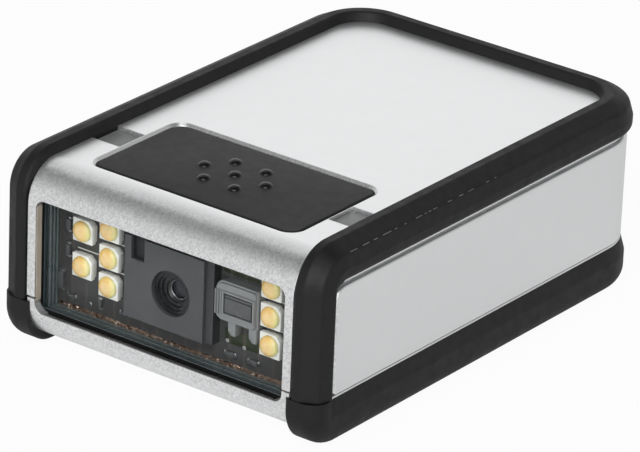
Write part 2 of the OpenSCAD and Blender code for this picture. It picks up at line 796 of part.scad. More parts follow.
module lower_housing() color(silver) in_place() difference() {
    union() {
        difference() {
            union() {
                lower_body();
                // Tongue that centres the two housings
                between(seam_z - weld, tongue_z) plan(cavity_x + side_wall / 2, cavity_y);
            }
            between(side_floor_z, tongue_z + cut) plan(cavity_x, cavity_y - cut);
            // Deeper floor between the bumper's shoulders
            block([side_wall - foot_x, seat_y, floor_z],
                  [foot_x - side_wall, corner_y, side_floor_z + cut]);
            block([-pane_x - slip, gasket_y, pane_z0],
                  [pane_x + slip, cavity_y + cut, tongue_z + cut]);
            along_y(-cut, gasket_y + cut) window_outline();
            // The lip under the window thins towards its edge
            along_x(2 * (window_x - window_foot_r))
                polygon([[lip_t, window_z], [lip_t, window_z + over],
                         [gasket_y + over, window_z + over], [gasket_y + over, pane_z0 + over]]);
            // Room for the upper bumper's posts, which reach down past the seam
            both_sides() block([panel_x - slip / 2, -cut, split_z],
                               [half_w, upper_shoulder_y, seam_z + cut]);
        }
        intersection() {
            at_bosses() between(floor_z - weld, seam_z) circle(d = tray_boss_d);
            lower_body();
        }
        at_posts() between(floor_z - weld, main_board_z) circle(d = board_post_d);
        at_engine_posts() between(floor_z - weld, camera_foot_z) circle(d = board_post_d);
        at_inserts()
            between(floor_z - weld, underside_gap + insert_l + insert_cap) circle(d = insert_d + 2.6);
    }
    at_bosses() {
        between(underside_gap - cut, head_seat_z) circle(d = screw_head_d + 2 * boss_gap);
        between(head_seat_z - cut, seam_z + cut) circle(d = screw_d + boss_gap);
    }
    at_posts() between(floor_z + pilot_floor, main_board_z + cut) circle(d = small_pilot_d);
    at_engine_posts()
        between(floor_z + pilot_floor, camera_foot_z + cut) circle(d = small_pilot_d);
    at_inserts() between(underside_gap - cut, underside_gap + insert_l) circle(d = insert_d);
}

module upper_bumper() color(rubber) in_place() difference() {
    union() {
        swept_band(upper_section, upper_cy, upper_cz, 1);
        both_sides() {
            front_turn(upper_section, upper_cy, upper_cz);
            front_post(upper_section, upper_cy, side_z, upper_cz);
        }
    }
    along_x(body_w + cut) side_opening(0);
}

module lower_bumper() color(rubber) in_place() difference() {
    union() {
        swept_band(lower_section, lower_cy, lower_cz, -1);
        both_sides() {
            translate([0, 0, 2 * lower_cz]) mirror([0, 0, 1])
                front_turn(lower_section, lower_cy, lower_cz);
            front_post(lower_section, lower_cy, lower_cz, split_z);
        }
    }
    along_x(body_w + cut) translate([post_y, lower_band_h]) square(body_l);
    // The slope up to the ledge, along the sides and round the rear
    slope_z = lower_band_h - lower_slope_h;
    swept_band([[raised_x, lower_band_h + cut], [raised_x, lower_band_h], [half_w, slope_z],
                [half_w + cut, slope_z], [half_w + cut, lower_band_h + cut]], post_y, 0, 1);
}

// Crowned pad: rings of one rounded outline, each smaller and higher than the last
pad_rings = 9;
pad_steps = 10;
pad_roll = 0.35;
pad_r = recess_r - pad_gap;
function pad_outline(w, l, r) = [for (q = [0:3], i = [0:pad_steps])
    let (a = 90 * (q + i / pad_steps), x = q == 0 || q == 3 ? 1 : -1, y = q < 2 ? 1 : -1)
    [x * (w / 2 - r) + r * cos(a), y * (l / 2 - r) + r * sin(a)]];
// Height of the crown at share s of the way out
function crown(s) =
    pad_edge_z + (pad_crown - pad_roll) * (1 - pow(s, 3)) + pad_roll * sqrt(1 - pow(s, 16));
module crowned_pad() {
    base = pad_outline(pad_w, pad_l, pad_r);
    n = len(base);
    shares = [for (i = [0:pad_rings])
        sin(90 * (pad_rings - i) / (pad_rings + 1) + 90 / (pad_rings + 1))];
    points = concat(
        [for (p = base) [p.x, p.y, pad_under]],
        [for (s = shares, p = base) [p.x * s, p.y * s, crown(s)]]);
    rings = len(shares);
    polyhedron(points, concat(
        [[for (i = [0:n - 1]) i]],
        [for (k = [0:rings - 1], i = [0:n - 1]) let (j = (i + 1) % n)
            [k * n + i, (k + 1) * n + i, (k + 1) * n + j, k * n + j]],
        [[for (i = [n - 1:-1:0]) rings * n + i]]));
}

module trigger_button() color(pad_grey) in_place() {
    translate([0, recess_mid_y, 0]) {
        crowned_pad();
        dots();
        between(plunger_top, pad_under + weld) circle(d = stem_d);
    }
    hook_places() {
        block([-hook_w / 2, 0, recess_under - hook_h], [hook_w / 2, hook_t, pad_under + weld]);
        block([-hook_w / 2, hook_t - over, recess_under - hook_h],
              [hook_w / 2, hook_t + hook_reach, recess_under - stop_gap]);
    }
}

// Seven raised dots in rows of two, three and two, each the cap of a ball
module dots() {
    r = (pow(dot_d / 2, 2) + dot_h * dot_h) / (2 * dot_h);
    for (row = [-1:1], i = [0:(row == 0 ? 2 : 1)]) {
        x = (i - (row == 0 ? 1 : 0.5)) * dot_pitch_x;
        y = row * dot_pitch_y;
        top = crown(max(abs(x) / (pad_w / 2), abs(y) / (pad_l / 2))) + dot_h;
        translate([x, y, 0]) intersection() {
            translate([0, 0, top - r]) sphere(r);
            between(top - dot_h - weld, top + cut) circle(r);
        }
    }
}

module switch_plunger() color(dark) in_place() translate([0, recess_mid_y, 0])
    between(switch_top - light_gap, plunger_top) circle(plunger_r);

module switch_body() color(steel) in_place() translate([0, recess_mid_y, 0]) difference() {
    between(switch_board_z + switch_board_t, switch_top) round_rect(switch_w, switch_w, 0.6);
    between(switch_top - trigger_travel - 2 * light_gap, switch_top + cut) circle(plunger_r + 2 * slip);
}

module switch_board() color(board_green) in_place()
    between(switch_board_z, switch_board_z + switch_board_t)
        translate([0, recess_mid_y]) round_rect(2 * status_x + 2.4, recess_l - 3, 1);

module board_link() color(dark) in_place()
    block([link_x, link_y, board_top], [link_x + link_w, link_y + link_l, switch_board_z]);

// Light guide: a flat bar under the recess, an eye round the stem and an upright at each end
module status_light_bar() color(smoke) in_place() translate([0, recess_mid_y, 0]) difference() {
    union() {
        block([-light_in_x - weld, -light_w / 2, light_z], [light_in_x + weld, light_w / 2, recess_under]);
        both_sides() block([light_in_x, -light_w / 2, light_z],
                           [panel_x - slip, light_w / 2, panel_z - light_drop]);
        between(light_z, recess_under) circle(d = stem_d + 2 * stem_gap + 2.4);
    }
    between(light_z - cut, recess_under + cut) circle(d = stem_d + 2 * stem_gap);
}

module status_lamp(s) color(cream) in_place() translate([s * status_x, recess_mid_y, 0])
    between(switch_board_z + switch_board_t, switch_top - switch_h / 2) round_rect(1.6, 3, 0.2);
module status_lamp_left() status_lamp(-1);
module status_lamp_right() status_lamp(1);

// A rectangular ring between y0 and y1, seen from the front
module window_ring(y0, y1, x, z0, z1) along_y(y0, y1) difference() {
    translate([-pane_x, pane_z0]) square([2 * pane_x, pane_z1 - pane_z0]);
    translate([-x, z0]) square([2 * x, z1 - z0]);
}

module window_gasket() color(dark) in_place()
    window_ring(gasket_y, pane_y, window_x - gasket_show,
                window_z + gasket_show, window_top - gasket_show);

module window_pane() color(clear) in_place()
    block([-pane_x, pane_y, pane_z0], [pane_x, frame_y, pane_z1]);

// Frame with three upright ribs on each side wall
module window_frame() color(dark) in_place() {
    x = pane_x - frame_t;
    z0 = pane_z0 + frame_t / 2;
    z1 = pane_z1 - frame_t;
    window_ring(frame_y, lamp_board_y, x, z0, z1);
    both_sides() for (i = [0:2])
        translate([x, frame_y + frame_depth * (i + 0.5) / 3, 0])
            between(z0 - over, z1 + over) circle(2 * over);
}

module lamp_board() color(board_black) in_place() difference() {
    block([-pane_x, lamp_board_y, pane_z0], [pane_x, lamp_back_y, pane_z1 - 3 * slip]);
    block([-camera_w / 2 - cutout_gap, lamp_board_y - cut, camera_body_z - cutout_gap],
          [camera_w / 2 + cutout_gap, lamp_back_y + cut, camera_body_top + cutout_gap]);
}

// Camera body with two feet behind the lamp board, and a wider front block before it
module camera_housing() color(dark) in_place() difference() {
    union() {
        difference() {
            block([-camera_left, camera_front_y, camera_z], [camera_right, lamp_board_y, camera_top]);
            // Notch at the upper left and step down the right edge
            block([-camera_left + 1, camera_front_y - cut, lens_z + 2.9],
                  [-camera_left + 3.1, camera_front_y + 1, camera_top + cut]);
            block([camera_right - 1.2, camera_front_y - cut, camera_z - cut],
                  [camera_right + cut, camera_front_y + 0.5, camera_top + cut]);
        }
        block([-camera_w / 2, lamp_board_y - cut / 2, camera_body_z],
              [camera_w / 2, camera_back_y, camera_body_top]);
        block([-camera_foot_w / 2, camera_foot_y, camera_foot_z],
              [camera_foot_w / 2, camera_foot_y + camera_foot_l, camera_body_z + over]);
    }
    rod_y(0, lens_z, camera_front_y - cut, barrel_y + cut, lens_hole_d / 2);
    rod_y(0, lens_z, barrel_y, camera_back_y + cut, barrel_d / 2 + slip / 2);
    // Pocket for the sensor
    block([-sensor_w / 2 - slip, camera_back_y - sensor_t - boss_gap, lens_z - sensor_w / 2 - slip],
          [sensor_w / 2 + slip, camera_back_y + cut, lens_z + sensor_w / 2 + slip]);
    at_engine_posts() between(camera_foot_z - cut, camera_body_z + cut) circle(d = small_hole_d);
}

// Barrel with steps in front of the lens and a bore behind it
module lens_barrel() color(dark) in_place()
    translate([0, barrel_y, lens_z]) rotate([-90, 0, 0]) rotate_extrude() {
        r = barrel_d / 2;
        glass = lens_d / 2;
        mouth = lens_hole_d / 2 - 0.5;
        bore = glass + slip / 2;
        polygon([[mouth, 0], [r, 0], [r, barrel_l],
                 [bore + rear_rim, barrel_l], [bore + rear_rim, rear_seat],
                 [bore, rear_seat], [bore, front_seat],
                 [glass - front_rim, front_seat], [glass - front_rim, front_seat - 0.2],
                 [glass + 0.3, 0.9], [glass + 0.3, 0.6], [glass + 0.8, 0.6],
                 [glass + 0.8, 0.3], [mouth, 0.3]]);
    }

// Lens along Y: a flat rim of radius r and thickness t, bulging by b inside the rim's width
module biconvex(y, r, rim, t, b) translate([0, y, lens_z]) rotate([-90, 0, 0]) {
    inner = r - rim - slip / 2;
    ball = (inner * inner + b * b) / (2 * b);
    cylinder(h = t, r = r);
    intersection() {
        translate([0, 0, ball - b]) sphere(ball);
        translate([0, 0, -2 * b]) cylinder(h = 2 * b + t / 2, r = inner);
    }
    intersection() {
        translate([0, 0, t + b - ball]) sphere(ball);
        translate([0, 0, t / 2]) cylinder(h = 2 * b + t / 2, r = inner);
    }
}

module front_lens() color(clear) in_place()
    biconvex(barrel_y + front_seat, lens_d / 2, front_rim, 0.8, 0.15);

module rear_lens() color(clear) in_place()
    biconvex(barrel_y + rear_seat, lens_d / 2 + rear_rim, rear_rim, 1, 0.2);

module image_sensor() color(steel) in_place()
    block([-sensor_w / 2, camera_back_y - sensor_t, lens_z - sensor_w / 2],
          [sensor_w / 2, camera_back_y, lens_z + sensor_w / 2]);

module sensor_board() color(board_green) in_place()
    block([-camera_w / 2, camera_back_y, camera_foot_z + engine_gap],
          [camera_w / 2, camera_back_y + sensor_board_t, camera_body_top]);

// Clear aiming lens: a hollow cover with a raised window and two legs
module aimer_lens() color(smoke) in_place() difference() {
    leg_w = 1.2;
    leg_h = 2.4;
    union() {
        along_y(aimer_y, lamp_board_y) {
            translate([aimer_x, aimer_z]) round_rect(aimer_w, aimer_h, 1);
            for (x = [-1.8, 2]) translate([aimer_x + x, aimer_z - aimer_h / 2 - leg_h + 1])
                square([leg_w, leg_h]);
        }
        along_y(aimer_y - boss_gap, aimer_y + over)
            translate([aimer_x + 2 * slip, aimer_z]) round_rect(aimer_w - 1.6, aimer_h - 2.4, 0.3);
    }
    block([aimer_x - 2, aimer_y + 0.55, aimer_z - 1.9], [aimer_x + 2, lamp_board_y + cut, aimer_z + 1.9]);
}

module aimer_lamp() color(cream) in_place()
    block([aimer_x - aimer_lamp_w / 2, lamp_board_y - 0.7, aimer_z - aimer_lamp_w / 2],
          [aimer_x + aimer_lamp_w / 2, lamp_board_y, aimer_z + aimer_lamp_w / 2]);

// Places of the eight lamps: inner left column, outer left column, right column
lamp_places = concat(
    [for (i = [-1:1]) [-left_inner_x, lamp_mid_z - i * lamp_pitch]],
    [for (i = [-0.5, 0.5]) [-left_outer_x, lamp_mid_z - i * pair_pitch]],
    [for (i = [-1:1]) [right_x, lamp_mid_z - i * lamp_pitch]]);

// Square lamp package with one corner cut off
module lamp(i) color(cream) in_place() {
    p = lamp_places[i - 1];
    h = lamp_w / 2;
    c = lamp_w / 5;
    along_y(lamp_board_y - lamp_t, lamp_board_y) translate(p)
        polygon([[-h, -h], [h - c, -h], [h, c - h], [h, h], [-h, h]]);
}

// Domed lens bonded on the front of a lamp package
module lamp_dome(i) color(amber) in_place() {
    p = lamp_places[i - 1];
    r = (pow(dome_d / 2, 2) + dome_h * dome_h) / (2 * dome_h);
    face_y = lamp_board_y - lamp_t;
    intersection() {
        translate([p.x, face_y - dome_h + r, p.y]) sphere(r);
        rod_y(p.x, p.y, face_y - 2 * dome_h, face_y, dome_d / 2);
    }
}

// Flat ribbon from the sensor board down to its connector on the main board
module flex_cable() color(gold) in_place() {
    y0 = camera_back_y + sensor_board_t;
    r = flex_bend_r;
    translate([flex_x, 0, 0]) along_x(flex_w) {
        translate([y0, flex_z + r]) square([flex_t, flex_tail]);
        translate([y0 + r, flex_z + r]) intersection() {
            difference() {
                circle(r);
                circle(r - flex_t);
            }
            translate([-r, -r]) square([r, r]);
        }
        translate([y0 + r, flex_z]) square([connector_y - y0 - r, flex_t]);
    }
}

module flex_connector() color(cream) in_place()
    block([2 * flex_x - connector_x, connector_y, board_top],
          [connector_x, connector_y + flex_connector_l, board_top + flex_connector_h]);

module main_board() color(board_green) in_place() difference() {
    block([-board_x, main_board_y, main_board_z], [board_x, board_rear_y, board_top]);
    at_posts() between(main_board_z - cut, board_top + cut) circle(d = small_hole_d);
}

module processor() color(dark) in_place() translate([0, processor_y, 0])
    between(board_top, board_top + processor_h) square(processor_w, center = true);

module memory_chip() color(dark) in_place() translate([0, processor_y, 0])
    between(main_board_z - memory_h, main_board_z) square([memory_w, memory_w], center = true);

module beeper() color(dark) in_place() translate([0, beeper_y, board_top]) difference() {
    cylinder(h = beeper_h, d = beeper_d);
    translate([0, 0, beeper_h - cut]) cylinder(h = 2 * cut, d = beeper_hole_d);
}

module cable_socket() color(dark) in_place() difference() {
    block([-jack_w / 2, jack_y, board_top], [jack_w / 2, jack_rear_y, board_top + jack_h]);
    block([-plug_w / 2, plug_y, plug_z], [plug_w / 2, jack_rear_y + cut, plug_z + plug_h]);
    // Slot for the plug's latch
    block([-latch_w / 2, plug_y, plug_z - latch_h], [latch_w / 2, jack_rear_y + cut, plug_z + cut]);
}

// Ten spring contacts that slope back from the socket's ceiling
module socket_contacts() color(gold) in_place() {
    top = plug_z + plug_h;
    foot = 1;
    reach = 6.5;
    drop = 1.6;
    for (i = [0:9]) translate([(i - 4.5) * contact_pitch, 0, 0]) along_x(contact_w)
        polygon([[plug_y, top], [plug_y, top - contact_w], [plug_y + foot, top - contact_w],
                 [plug_y + reach, top - drop], [plug_y + reach, top - drop + contact_t],
                 [plug_y + foot + contact_w, top]]);
}

// Pan head with a cross recess and a plain shank, head up
module screw(d, l, head, t) difference() {
    union() {
        cylinder(h = t, d = head);
        translate([0, 0, -l]) cylinder(h = l + t / 2, d = d);
    }
    for (a = [0, 90]) rotate(a)
        translate([-head / 3, -head / 12, t * 0.5]) cube([head / 1.5, head / 6, t]);
}

// A small screw whose head stands at height z and whose tip stays over the floor's pilot hole
module small_screw(z) translate([0, 0, z])
    screw(small_screw_d, z - floor_z - pilot_floor - 2 * slip, small_head_d, small_head_t);

module engine_screws() color(steel) in_place()
    at_engine_posts() small_screw(camera_body_z + over);

module board_screws() color(steel) in_place()
    at_posts() small_screw(board_top);

module housing_screws() color(steel) in_place() at_bosses()
    translate([0, 0, head_seat_z]) mirror([0, 0, 1]) screw(screw_d, screw_l, screw_head_d, head_t);

module mounting_inserts() color(gold) in_place() at_inserts() difference() {
    between(underside_gap, underside_gap + insert_l) circle(d = insert_d);
    between(underside_gap - cut, underside_gap + insert_l + cut) circle(d = insert_bore_d);
}

upper_housing();
lower_housing();
upper_bumper();
lower_bumper();
trigger_button();
switch_plunger();
switch_body();
switch_board();
board_link();
status_light_bar();
status_lamp_left();
status_lamp_right();
window_gasket();
window_pane();
window_frame();
lamp_board();
camera_housing();
lens_barrel();
front_lens();
rear_lens();
image_sensor();
sensor_board();
aimer_lens();
aimer_lamp();
lamp(1);  // lamp_1
lamp(2);  // lamp_2
lamp(3);  // lamp_3
lamp(4);  // lamp_4
lamp(5);  // lamp_5
lamp(6);  // lamp_6
lamp(7);  // lamp_7
lamp(8);  // lamp_8
lamp_dome(1);  // lamp_dome_1
lamp_dome(2);  // lamp_dome_2
lamp_dome(3);  // lamp_dome_3
lamp_dome(4);  // lamp_dome_4
lamp_dome(5);  // lamp_dome_5
lamp_dome(6);  // lamp_dome_6
lamp_dome(7);  // lamp_dome_7
lamp_dome(8);  // lamp_dome_8
flex_cable();
flex_connector();
main_board();
processor();
memory_chip();
beeper();
cable_socket();
socket_contacts();
engine_screws();
board_screws();
housing_screws();
mounting_inserts();
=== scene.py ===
"""Looks of the hands-free barcode scanner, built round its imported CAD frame, in metres."""
import math
import random

import bmesh
import bpy
from mathutils import Matrix, Vector


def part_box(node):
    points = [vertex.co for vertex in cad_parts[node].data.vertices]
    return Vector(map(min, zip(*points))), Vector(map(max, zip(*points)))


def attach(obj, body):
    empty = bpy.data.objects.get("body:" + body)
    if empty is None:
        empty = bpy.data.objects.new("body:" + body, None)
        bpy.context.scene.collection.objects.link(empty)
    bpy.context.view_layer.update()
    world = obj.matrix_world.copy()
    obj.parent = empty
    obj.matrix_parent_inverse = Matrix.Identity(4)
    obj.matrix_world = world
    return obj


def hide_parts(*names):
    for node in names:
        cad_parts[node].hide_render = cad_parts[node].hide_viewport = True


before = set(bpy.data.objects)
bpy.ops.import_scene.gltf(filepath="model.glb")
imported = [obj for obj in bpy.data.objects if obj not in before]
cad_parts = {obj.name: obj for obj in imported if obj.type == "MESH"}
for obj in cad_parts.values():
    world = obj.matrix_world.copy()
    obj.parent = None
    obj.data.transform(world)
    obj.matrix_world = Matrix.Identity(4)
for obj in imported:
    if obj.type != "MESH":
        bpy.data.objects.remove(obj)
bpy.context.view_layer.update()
MM = 0.001
# The silver front face. Own pieces are drawn in millimetres, with Y counted back from it.
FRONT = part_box("upper_housing")[0].y
# Own pieces keep a sharp edge where two faces meet at more than this angle
SHARP_ANGLE = math.radians(32)
# Segments of a rounded edge, and of a quarter turn in a drawn outline
EDGE_STEPS = 2
CORNER_STEPS = 5

# Camera, fitted to the photograph's vanishing lines: angles in degrees, lens and sensor in
# millimetres, lengths in metres
AZIMUTH = 36.44
ELEVATION = 24.19
ROLL = 2.36
LENS = 290.2
SENSOR_W = 36.0
DISTANCE = 0.65216
AIM = Vector((0.00043, -0.00341, 0.01245))
NEAREST = 0.01
FARTHEST = 20.0

# Area lamps: place, width, height and power in watts. The silver's top mirrors "back" and the
# front's radius mirrors "upper". "key" and "front" light the side, the front and the lamps.
LIGHTS = {
    "back": ((-0.68, 0.68, 0.76), 1.50, 1.15, 2.75),
    "upper": ((-0.27, 0.27, 1.06), 0.80, 0.32, 0.33),
    "key": ((0.40, -0.68, 0.78), 0.80, 0.80, 6.0),
    "front": ((0.45, -1.00, 0.25), 1.00, 0.50, 3.8),
}
LIGHT_AIM = Vector((0.0, 0.0, 0.012))
# The sky's strength up to a sine of elevation, and from a second one up. Its dark part shows as
# the band across the front's radius.
SKY_LOW = 0.65
SKY_LOW_END = 0.35
SKY_HIGH = 0.03
SKY_HIGH_START = 0.86
# The floor is a large disc under the part
FLOOR_RADIUS = 3.0
FLOOR_SEGMENTS = 96
FLOOR_WHITE = 0.82
# Shares of plain white that the floor shows to the camera and in reflections
FLOOR_GLOW = 0.95
FLOOR_MIRRORED = 0.222


def make_camera():
    """The camera at the photograph's viewing angle."""
    a, e, r = (math.radians(x) for x in (AZIMUTH, ELEVATION, ROLL))
    back = Vector((math.sin(a) * math.cos(e), -math.cos(a) * math.cos(e), math.sin(e)))
    level = Vector((math.cos(a), math.sin(a), 0.0))
    upright = back.cross(level)
    right = math.cos(r) * level + math.sin(r) * upright
    up = math.cos(r) * upright - math.sin(r) * level
    data = bpy.data.cameras.new("camera")
    data.sensor_fit = "HORIZONTAL"
    data.sensor_width = SENSOR_W
    data.lens = LENS
    data.clip_start = NEAREST
    data.clip_end = FARTHEST
    camera = bpy.data.objects.new("camera", data)
    place = AIM + DISTANCE * back
    camera.matrix_world = Matrix((
        (right.x, up.x, back.x, place.x),
        (right.y, up.y, back.y, place.y),
        (right.z, up.z, back.z, place.z),
        (0.0, 0.0, 0.0, 1.0)))
    bpy.context.scene.collection.objects.link(camera)
    bpy.context.scene.camera = camera


class Nodes:
    """Adds nodes to a tree and joins them. A method's value may be another node's output."""

    def __init__(self, tree):
        self.tree = tree

    def add(self, kind, **settings):
        """A new node."""
        node = self.tree.nodes.new(kind)
        for key, value in settings.items():
            setattr(node, key, value)
        return node

    def feed(self, *pairs):
        """Gives each socket its value."""
        for socket, value in pairs:
            if isinstance(value, bpy.types.NodeSocket):
                self.tree.links.new(value, socket)
            elif socket.type == "RGBA":
                socket.default_value = (*value[:3], 1.0)
            else:
                socket.default_value = value

    def math(self, operation, *values):
        """The result of an operation on numbers."""
        node = self.add("ShaderNodeMath", operation=operation)
        self.feed(*zip(node.inputs, values))
        return node.outputs[0]

    def axis(self, vector, letter):
        """One axis of a vector."""
        split = self.add("ShaderNodeSeparateXYZ")
        self.feed((split.inputs[0], vector))
        return split.outputs[letter]

    def span(self, fac, low, high, start=0.0, end=1.0):
        """fac between start and end, mapped to low and high."""
        node = self.add("ShaderNodeMapRange")
        self.feed((node.inputs["Value"], fac),
                  (node.inputs["From Min"], start), (node.inputs["From Max"], end),
                  (node.inputs["To Min"], low), (node.inputs["To Max"], high))
        return node.outputs["Result"]

    def blend(self, share, a, b):
        """Shader a where share is 0 and b where it is 1."""
        node = self.add("ShaderNodeMixShader")
        self.feed(*zip(node.inputs, (share, a, b)))
        return node.outputs[0]


class Look(Nodes):
    """A material made of nodes round one Principled shader."""

    def __init__(self, name, **sockets):
        self.material = bpy.data.materials.new(name)
        self.material.use_nodes = True
        super().__init__(self.material.node_tree)
        self.tree.nodes.clear()
        self.output = self.add("ShaderNodeOutputMaterial")
        self.shader = self.add("ShaderNodeBsdfPrincipled")
        self.show(self.shader.outputs[0])
        self.place = self.add("ShaderNodeTexCoord").outputs["Object"]
        for socket, value in sockets.items():
            self.put(socket.replace("_", " "), value)

    def show(self, surface):
        """Makes a shader's output the material's surface."""
        self.feed((self.output.inputs["Surface"], surface))

    def put(self, socket, value):
        """Sets one of the Principled shader's sockets."""
        self.feed((self.shader.inputs[socket], value))

    def facing(self, letter):
        """One axis of the world normal, from -1 to 1."""
        return self.axis(self.add("ShaderNodeNewGeometry").outputs["Normal"], letter)

    def noise(self, scale, detail=2.0):
        """Noise from 0 to 1, with scale in cycles per metre."""
        node = self.add("ShaderNodeTexNoise")
        self.feed((node.inputs["Scale"], scale), (node.inputs["Detail"], detail),
                  (node.inputs["Vector"], self.place))
        return node.outputs["Fac"]

    def cells(self, scale):
        """A random colour for each cell, with scale in cells per metre."""
        node = self.add("ShaderNodeTexVoronoi")
        self.feed((node.inputs["Scale"], scale), (node.inputs["Vector"], self.place))
        return node.outputs["Color"]

    def ramp(self, fac, *stops):
        """Two colours at places from 0 to 1 along fac."""
        node = self.add("ShaderNodeValToRGB")
        for element, (place, colour) in zip(node.color_ramp.elements, stops):
            element.position = place
            element.color = (*colour, 1.0)
        self.feed((node.inputs["Fac"], fac))
        return node.outputs["Color"]

    def mix(self, fac, a, b):
        """Colour a where fac is 0 and b where it is 1."""
        node = self.add("ShaderNodeMix", data_type="RGBA")
        self.feed((node.inputs[0], fac), (node.inputs[6], a), (node.inputs[7], b))
        return node.outputs[2]

    def vector(self, operation, a, b=None):
        """The result of an operation on vector a, and vector b or scale b."""
        node = self.add("ShaderNodeVectorMath", operation=operation)
        self.feed((node.inputs[0], a))
        if b is not None:
            self.feed((node.inputs["Scale" if operation == "SCALE" else 1], b))
        return node.outputs[0]

    def bump(self, height, depth, strength, normal=None):
        """A normal from a height of 0 to 1 that stands for depth metres."""
        node = self.add("ShaderNodeBump")
        self.feed((node.inputs["Strength"], strength), (node.inputs["Distance"], depth),
                  (node.inputs["Height"], height))
        if normal:
            self.feed((node.inputs["Normal"], normal))
        return node.outputs["Normal"]

    def rounded(self, radius):
        """A normal that turns smoothly over edges of the solid, as if they had this radius."""
        node = self.add("ShaderNodeBevel", samples=4)
        self.feed((node.inputs["Radius"], radius))
        return node.outputs["Normal"]


def silver_paint():
    """Silver paint, even on the panels, and with a speckle of metal flakes on the front."""
    look = Look("silver_paint", Metallic=0.88, Specular_IOR_Level=0.5, Coat_Weight=0.1,
                Coat_Roughness=0.3)
    flakes = look.cells(4200.0)
    value = look.add("ShaderNodeRGBToBW")
    look.feed((value.inputs[0], flakes))
    even = look.ramp(look.noise(380.0, 3.0),
                     (0.3, (0.825, 0.835, 0.84)), (0.7, (0.835, 0.845, 0.85)))
    speckle = look.ramp(value.outputs[0],
                        (0.2, (0.71, 0.72, 0.725)), (0.8, (0.94, 0.945, 0.95)))
    on_front = look.span(look.facing("Y"), 0.0, 1.0, start=-0.1, end=-0.6)
    look.put("Base Color", look.mix(on_front, even, speckle))
    look.put("Roughness", look.span(look.noise(2600.0, 1.0), 0.30, 0.34, start=0.3, end=0.7))
    # Each flake lies at its own angle
    strength = look.span(look.facing("Y"), 0.01, 0.06, start=-0.2, end=-0.8)
    tilt = look.vector("SCALE", look.vector("SUBTRACT", flakes, (0.5, 0.5, 0.5)), strength)
    grain = look.bump(look.noise(1500.0, 2.0), 0.010 * MM, 0.15, look.rounded(0.15 * MM))
    look.put("Normal", look.vector("NORMALIZE", look.vector("ADD", tilt, grain)))
    return look.material


# Share of its own colour that the painted shade keeps, and the depth over which the painted shade
# fades in, in millimetres
PAINTED_SHADE_SHARE = 0.45
PAINTED_SHADE_FADE = 0.3


def moulded(name, low, high, depth=0.02, rough=(0.45, 0.6), edge=0.0, shade_depth=None, **sockets):
    """Moulded plastic or rubber with a fine grain of depth millimetres, slight mottling and edges
    rounded by edge millimetres. Further than shade_depth millimetres behind the front it is darker:
    painted shade."""
    look = Look(name, **sockets)
    tone = look.ramp(look.noise(260.0, 4.0), (0.3, low), (0.72, high))
    if shade_depth:
        # Painted shade: darker further behind the front, where the part lies in shade
        deep = look.span(look.axis(look.place, "Y"), 0.0, 1.0,
                         start=FRONT + shade_depth * MM, end=FRONT + (shade_depth + PAINTED_SHADE_FADE) * MM)
        tone = look.mix(deep, tone, tuple(PAINTED_SHADE_SHARE * c for c in low))
    look.put("Base Color", tone)
    look.put("Roughness", look.span(look.noise(700.0, 2.0), *rough, start=0.3, end=0.7))
    soft = look.rounded(edge * MM) if edge else None
    look.put("Normal", look.bump(look.noise(2200.0, 3.0), depth * MM, 0.5, soft))
    return look.material


def circuit_board(name, mask, track):
    """Solder mask with slightly lighter copper tracks under it."""
    look = Look(name, Specular_IOR_Level=0.5)
    tracks = look.add("ShaderNodeTexBrick")
    look.feed((tracks.inputs["Scale"], 220.0), (tracks.inputs["Mortar Size"], 0.05),
              (tracks.inputs["Vector"], look.place))
    look.put("Base Color", look.mix(tracks.outputs["Fac"], mask, track))
    look.put("Roughness", look.span(look.noise(900.0), 0.3, 0.45))
    look.put("Normal", look.bump(tracks.outputs["Fac"], 0.03 * MM, 0.4))
    return look.material


def metal(name, low, high, rough=(0.25, 0.4), scale=1200.0):
    """Bare metal with faint streaks, with scale in cycles per metre."""
    look = Look(name, Metallic=1.0)
    streaks = look.noise(scale, 3.0)
    look.put("Base Color", look.ramp(streaks, (0.3, low), (0.7, high)))
    look.put("Roughness", look.span(streaks, *rough, start=0.3, end=0.7))
    look.put("Normal", look.bump(streaks, 0.01 * MM, 0.3))
    return look.material


def amber_lens():
    """Silicone lens filled with phosphor: light spreads inside it. It is paler over the chip in its
    middle, and paler towards the right as painted light."""
    look = Look("amber_lens", Subsurface_Weight=0.45, Subsurface_Scale=0.6 * MM,
                Coat_Weight=0.3, Coat_Roughness=0.12)
    look.put("Subsurface Radius", (1.0, 0.75, 0.3))
    tone = look.ramp(look.noise(900.0, 3.0), (0.3, (0.94, 0.58, 0.19)), (0.7, (0.97, 0.65, 0.24)))
    over_chip = look.span(look.facing("Y"), 0.0, 0.85, start=-0.90, end=-0.985)
    tone = look.mix(over_chip, tone, (0.97, 0.69, 0.36))
    # Painted light: the side facing +X is paler, as if lit from the right
    painted_light_right = look.span(look.facing("X"), 0.0, 0.85, start=0.1, end=0.7)
    look.put("Base Color", look.mix(painted_light_right, tone, (1.0, 0.90, 0.46)))
    look.put("Roughness", look.span(look.noise(1400.0, 2.0), 0.24, 0.34, start=0.3, end=0.7))
    look.put("Normal", look.bump(look.noise(1800.0, 2.0), 0.006 * MM, 0.3))
    return look.material


# Share of a clear surface's reflection that its coating takes away
CLEAR_COATING = 0.05


